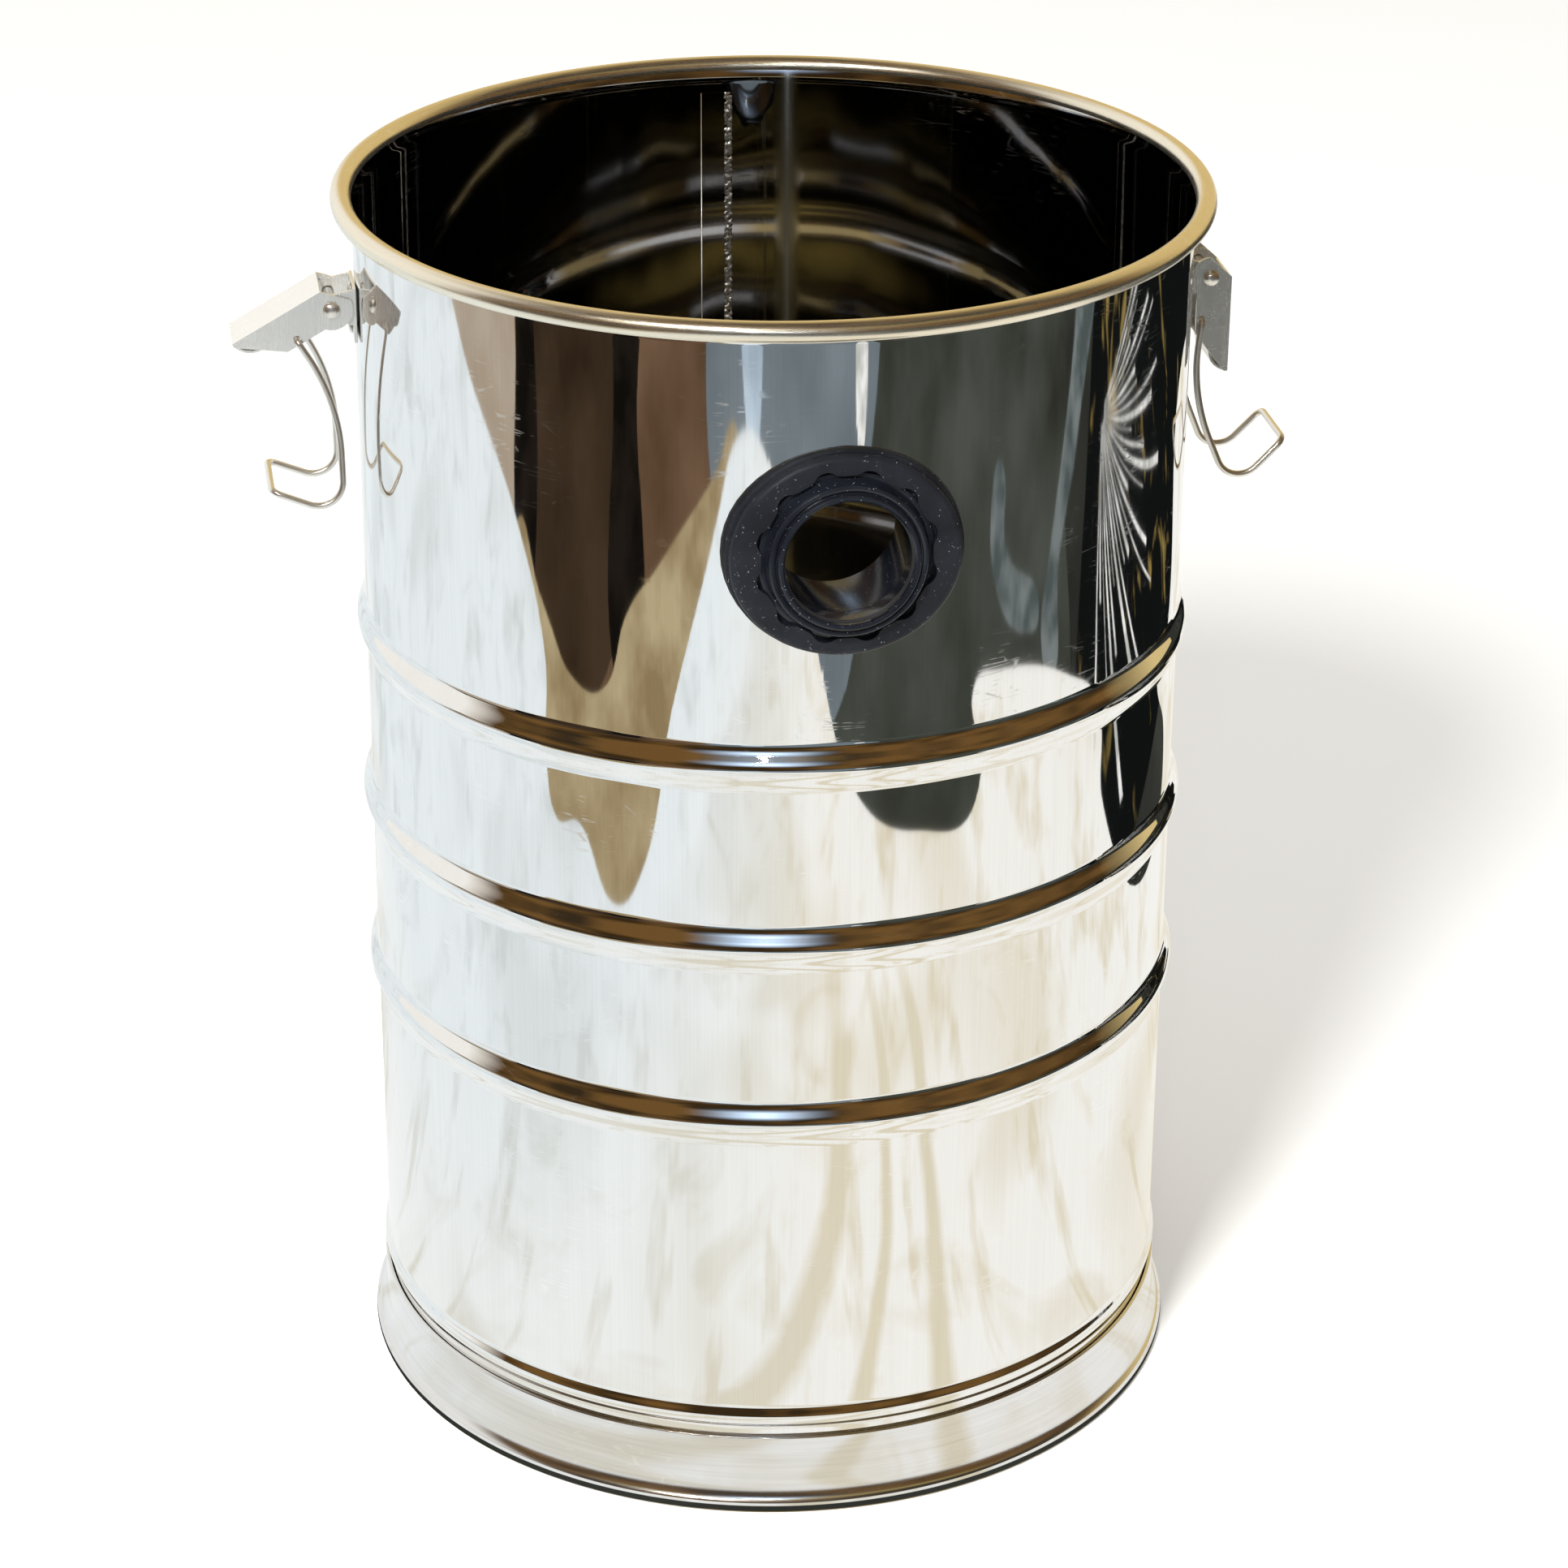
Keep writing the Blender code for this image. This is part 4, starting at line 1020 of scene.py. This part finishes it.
# flat shapes that lie on the floor round the drum: paint, lift off the floor and outline
cards = {
    "room": ("room", 0.0010, [(-6, -6), (6, -6), (6, 6), (-6, 6)]),
    "brown": ("brown", 0.0015, [
        (-0.90, -0.30), (-0.50, -1.10), (-0.58, -1.60), (-0.82, -1.79), (-1.4, -3.4), (-3.6, -3.4),
        (-3.6, -0.45), (-1.6, -0.30),
    ]),
    "umber": ("umber", 0.0020, [
        (-0.95, -0.80), (-1.34, -1.14), (-3.2, -2.7), (-3.4, -0.90), (-1.84, -0.54), (-1.15, -0.36),
    ]),
    "olive": ("olive", 0.0015, [
        (0.10, -1.05), (1.00, -0.30), (1.42, -0.48), (1.85, -0.62), (3.4, -1.2), (1.8, -3.6), (0.62, -3.2),
        (0.36, -1.50),
    ]),
    "slate": ("slate", 0.0020, [
        (-0.95, -2.10), (-0.66, -1.45), (0.0, -1.10), (0.36, -1.45), (0.62, -3.2), (-1.4, -3.2),
    ]),
    "gold": ("gold", 0.0020, [(0.7, -0.25), (2.6, -0.30), (2.6, 1.6), (0.9, 1.5)]),
    "blackNear": ("dark", 0.0030, [
        (-3.2, -0.65), (-1.86, -0.38), (-1.40, -0.28), (-1.17, -0.32), (-1.30, -0.41), (-1.85, -0.57),
        (-3.2, -1.0),
    ]),
    "blackFar": ("dark", 0.0030, [
        (-0.86, -0.80), (-0.84, -0.92), (-1.20, -1.29), (-2.0, -2.2), (-2.3, -2.0), (-1.34, -1.14),
        (-0.96, -0.80),
    ]),
    "hall": ("hall", 0.0025, [
        (-3.0, 0.8), (-1.75, 0.50), (-1.40, -0.10), (-1.30, -0.27), (-1.50, -0.31), (-1.90, -0.38),
        (-3.0, -0.62),
    ]),
    "tan": ("tan", 0.0040, [
        (-1.42, -0.30), (-1.25, -0.30), (-0.90, -0.30), (-0.55, -0.50), (-0.50, -1.00), (-0.50, -1.45),
        (-0.55, -1.63), (-0.64, -1.50), (-0.76, -1.32), (-0.87, -1.12), (-0.95, -0.90), (-0.92, -0.74),
        (-1.05, -0.56), (-1.17, -0.49), (-1.26, -0.43),
    ]),
    "streakNear": ("streak", 0.0040, [(-0.44, -1.60), (-0.40, -1.60), (-0.51, -2.3), (-0.60, -2.3)]),
    "streakFar": ("film", 0.0040, [(0.355, -1.58), (0.375, -1.58), (0.48, -2.1), (0.44, -2.1)]),
    "backSheet": ("cloth", 0.0045, [
        (-0.2, 0.6), (-1.6, 0.62), (-6, 0.8), (-6, 6), (4.2, 6), (1.0, 1.35), (0.6, 1.0),
    ]),
    "cloth": ("cloth", 0.0050, [
        (-0.35, 1.70), (-1.25, 1.40), (-1.90, 0.60), (-1.71, 0.10), (-1.40, -0.31), (-1.14, -0.43),
        (-0.95, -0.38), (-0.86, -0.39), (-0.80, -0.50), (-0.62, -0.57), (-0.59, -0.67), (-0.65, -0.97),
        (-0.60, -1.41), (-0.54, -1.60), (-0.40, -1.66), (-0.20, -1.52), (0.02, -1.29), (0.18, -1.02),
        (0.43, -0.83), (0.73, -0.70), (0.80, -0.83), (0.92, -0.74), (1.08, -0.28), (1.02, -0.06),
        (0.88, -0.04), (0.60, 0.40), (0.66, 0.52), (0.86, 0.50), (0.80, 0.66), (1.12, 1.02),
        (0.80, 1.45), (0.10, 1.65),
    ]),
    "strap": ("strap", 0.0045, [
        (1.05, -0.42), (1.25, -0.46), (1.52, -0.39), (2.2, -0.30), (2.2, -0.42), (1.66, -0.50),
        (1.25, -0.54), (1.08, -0.52),
    ]),
    "loop": ("strap", 0.0045, [
        (1.07, -0.60), (1.12, -0.56), (1.14, -0.86), (1.24, -0.94), (1.24, -1.00), (1.14, -0.99),
        (1.05, -0.90),
    ]),
}
straightCards = ("room", "gold", "backSheet")  # the others have rounded outlines


film = {"centre": (1.60, -0.12), "spokes": 27, "near": 0.03, "far": 0.80, "start": 58, "end": 178}


def fan(centre, spokes, near, far, start, end):
    # thin bright spokes, as from crumpled clear film
    for index in range(spokes):
        turn = math.radians(start + (end - start) * index / (spokes - 1))
        spread = 0.034 + 0.022 * math.sin(index * 2.3)
        reach = far * (0.75 + 0.25 * math.sin(index * 1.7))
        corners = []
        for radius, side in ((near, -spread), (reach, -spread / 3), (reach, spread / 3), (near, spread)):
            angle = turn + side
            corners.append((centre[0] + radius * math.cos(angle), centre[1] + radius * math.sin(angle)))
        card(f"spoke{index}", corners, 0.008, paints["film"], False)


cloth = {
    "foldStart": 0.22,
    "foldSlope": -0.836,
    "foldCurve": -0.88,
    "foldWobble": 0.05,
    "folds": ((-0.09, 0.036), (0.02, 0.018), (0.12, 0.022)),  # each fold's shift to the right and width
}


def foldBand(nodes, across, shift, width, uneven):
    # painted shade along a soft-edged fold that runs out from the drum's front and bends to the right
    reach = nodes.math("ADD", across[1], cloth["foldStart"])
    curve = nodes.times(nodes.times(reach, reach), cloth["foldCurve"])
    bend = nodes.math("ADD", nodes.times(reach, cloth["foldSlope"]), curve)
    away = nodes.math("SUBTRACT", nodes.math("SUBTRACT", across[0], bend), shift)
    away = nodes.math("ADD", away, nodes.times(uneven, cloth["foldWobble"]))
    band = nodes.ramp(nodes.math("ABSOLUTE", away), width, width * 0.35)
    band = nodes.times(band, nodes.ramp(across[1], -0.82, -0.55))
    return nodes.times(band, nodes.ramp(across[1], 0.0, -0.2))


def clothPaint():
    # the glow of sheet cloth: bluish at the left, cream at the right, with painted shade in its soft crumpled
    # folds
    material, nodes = stageMaterial("clothPaint")
    place = nodes.add("ShaderNodeTexCoord").outputs["Object"]
    across = nodes.add("ShaderNodeSeparateXYZ", {0: place}).outputs
    crumple = nodes.noise(place, 5.5, 5.0, distortion=1.6)
    broad = nodes.noise(place, 2.2, distortion=0.8)
    side = nodes.ramp(across[0], -0.55, 0.05)
    light = nodes.mixColour(side, (0.88, 0.94, 0.97, 1), (0.98, 0.97, 0.93, 1))
    shade = nodes.mixColour(side, (0.70, 0.75, 0.76, 1), (0.80, 0.73, 0.57, 1))
    turn = nodes.math("ARCTAN2", across[0], nodes.times(across[1], -1.0))
    reach = nodes.add("ShaderNodeVectorMath", {0: place}, operation="LENGTH").outputs["Value"]
    spun = nodes.add("ShaderNodeCombineXYZ", {0: turn, 1: nodes.times(reach, 0.5)}).outputs[0]
    sharp = nodes.ramp(nodes.noise(spun, 7.0, 3.0, 0.6), 0.44, 0.32, 0.0, 0.8)
    for shift, width in cloth["folds"]:
        sharp = nodes.math("MAXIMUM", sharp, foldBand(nodes, across, shift, width, broad))
    fine, broad = nodes.ramp(crumple, 0.46, 0.30, 0.0, 0.5), nodes.ramp(broad, 0.50, 0.34, 0.0, 0.6)
    amount = nodes.math("ADD", nodes.math("ADD", fine, broad), sharp, True)
    colour = nodes.mixColour(amount, light, shade)
    nodes.add("ShaderNodeOutputMaterial", {"Surface": addGlow(nodes, colour, 1.02)})
    return material


# two colours, how fine their patches are, where one gives way to the other, and the strength
tints = {
    "room": ((0.020, 0.021, 0.018), (0.050, 0.052, 0.044), 3.0, 0.35, 0.7, 1.0),
    "tan": ((0.33, 0.24, 0.12), (0.58, 0.47, 0.28), 6.0, 0.35, 0.65, 0.9),
    "hall": ((0.44, 0.35, 0.26), (0.60, 0.51, 0.41), 2.0, 0.35, 0.65, 0.9),
    "dark": ((0.006, 0.005, 0.004), (0.016, 0.012, 0.009), 5.0, 0.4, 0.6, 1.0),
    "umber": ((0.030, 0.018, 0.010), (0.060, 0.038, 0.022), 3.0, 0.35, 0.65, 1.0),
    "brown": ((0.100, 0.056, 0.030), (0.19, 0.115, 0.070), 2.0, 0.35, 0.65, 1.0),
    "slate": ((0.13, 0.16, 0.18), (0.22, 0.26, 0.29), 2.0, 0.3, 0.7, 1.0),
    "olive": ((0.030, 0.032, 0.024), (0.085, 0.092, 0.080), 2.0, 0.35, 0.65, 1.0),
    "film": ((0.55, 0.55, 0.52), (1.0, 1.0, 0.98), 12.0, 0.4, 0.6, 1.0),
    "streak": ((0.38, 0.47, 0.56), (0.60, 0.72, 0.84), 4.0, 0.4, 0.6, 1.0),
    "strap": ((0.08, 0.10, 0.10), (0.20, 0.23, 0.23), 9.0, 0.4, 0.6, 1.0),
    "gold": ((0.006, 0.007, 0.007), (0.42, 0.30, 0.09), 3.2, 0.60, 0.74, 1.0, (1.0, 2.2, 1), 1.0),
}
paints = {name: glowPaint(f"{name}Paint", *tint) for name, tint in tints.items()}
paints["cloth"] = clothPaint()


def buildCards():
    for name, (paint, lift, outline) in cards.items():
        card(f"{name}Card", outline, lift, paints[paint], name not in straightCards)
    fan(**film)


def buildGlow(name, place, facing, size, colour, strength):
    # a soft-edged patch of light, seen only as a reflection
    patch = started(name, bpy.ops.mesh.primitive_plane_add, size=1)
    patch.scale = (*size, 1)
    settle(patch)
    turn = facing.to_track_quat("Z", "Y").to_matrix().to_4x4()
    patch.matrix_world = Matrix.Translation(place) @ turn
    material, nodes = stageMaterial(name + "Paint")
    flat = nodes.stretched(nodes.add("ShaderNodeTexCoord").outputs["Object"], (2 / size[0], 2 / size[1], 1))
    away = nodes.add("ShaderNodeTexGradient", {"Vector": flat}, gradient_type="QUADRATIC_SPHERE").outputs[0]
    clear = nodes.add("ShaderNodeBsdfTransparent").outputs[0]
    glow = addGlow(nodes, (*colour, 1), strength)
    both = nodes.add("ShaderNodeMixShader", {0: away, 1: clear, 2: glow}).outputs[0]
    nodes.add("ShaderNodeOutputMaterial", {"Surface": both})
    patch.data.materials.append(material)
    showOnlyReflected(patch)


def buildWorld():
    # white to the camera, a soft fill on the floor, and a dim warm room in the steel
    world = bpy.data.worlds.new("studioWorld")
    bpy.context.scene.world = world
    world.use_nodes = True
    tree = world.node_tree
    tree.nodes.clear()
    nodes = Nodes(tree)
    rays = nodes.add("ShaderNodeLightPath").outputs
    way = nodes.add("ShaderNodeTexCoord").outputs["Generated"]
    split = nodes.add("ShaderNodeSeparateXYZ", {0: way}).outputs
    left = nodes.times(nodes.ramp(split[1], -0.06, 0.16), nodes.ramp(split[0], 0.02, -0.22))
    left = nodes.times(left, nodes.ramp(split[2], 0.88, 0.62))
    behind = nodes.times(nodes.ramp(split[1], 0.0, 0.4), nodes.ramp(split[2], 0.98, 0.60))
    lamp = nodes.times(nodes.ramp(split[2], 0.48, 0.56), nodes.ramp(split[2], 0.74, 0.62))
    lamp = nodes.times(lamp, nodes.ramp(split[1], -0.3, -0.6))
    low = nodes.ramp(split[2], 0.9, 0.15)
    warm = nodes.mixColour(low, (0.030, 0.028, 0.022, 1), (0.045, 0.025, 0.009, 1))
    patchy = nodes.ramp(nodes.noise(way, 2.2, 2.0), 0.44, 0.62)
    warm = nodes.mixColour(patchy, warm, (0.17, 0.088, 0.026, 1))
    lit = nodes.mixColour(lamp, warm, (0.36, 0.27, 0.09, 1))
    gold = nodes.mixColour(behind, lit, (0.72, 0.55, 0.25, 1))
    room = nodes.mixColour(left, gold, (0.98, 0.96, 0.92, 1))
    steel = nodes.add("ShaderNodeBackground", {"Color": room, "Strength": 1.0}).outputs[0]
    fill = nodes.add("ShaderNodeBackground", {"Color": (*studio["fillColour"], 1)}).outputs[0]
    fill.node.inputs["Strength"].default_value = studio["fillStrength"]
    white = nodes.add("ShaderNodeBackground", {"Color": (1, 1, 1, 1), "Strength": 1.0}).outputs[0]
    seen = nodes.add("ShaderNodeMixShader", {0: rays["Is Glossy Ray"], 1: fill, 2: steel}).outputs[0]
    both = nodes.add("ShaderNodeMixShader", {0: rays["Is Camera Ray"], 1: seen, 2: white}).outputs[0]
    nodes.add("ShaderNodeOutputWorld", {"Surface": both})


buildCamera()
buildFloor()
buildCards()
buildGlow("flashGlow", facing=Vector((0, 0, 0.3)) - Vector(studio["flash"]["place"]), **studio["flashGlow"])
buildGlow("panGlow", facing=Vector((0, 0, 1)), **studio["panGlow"])
buildWorld()
for name in ("keyLight", "glintLight", "flash"):
    areaLight(name, **studio[name])
bpy.context.scene.view_settings.view_transform = "Standard"
bpy.context.scene.view_settings.look = "None"
print("studio ready")
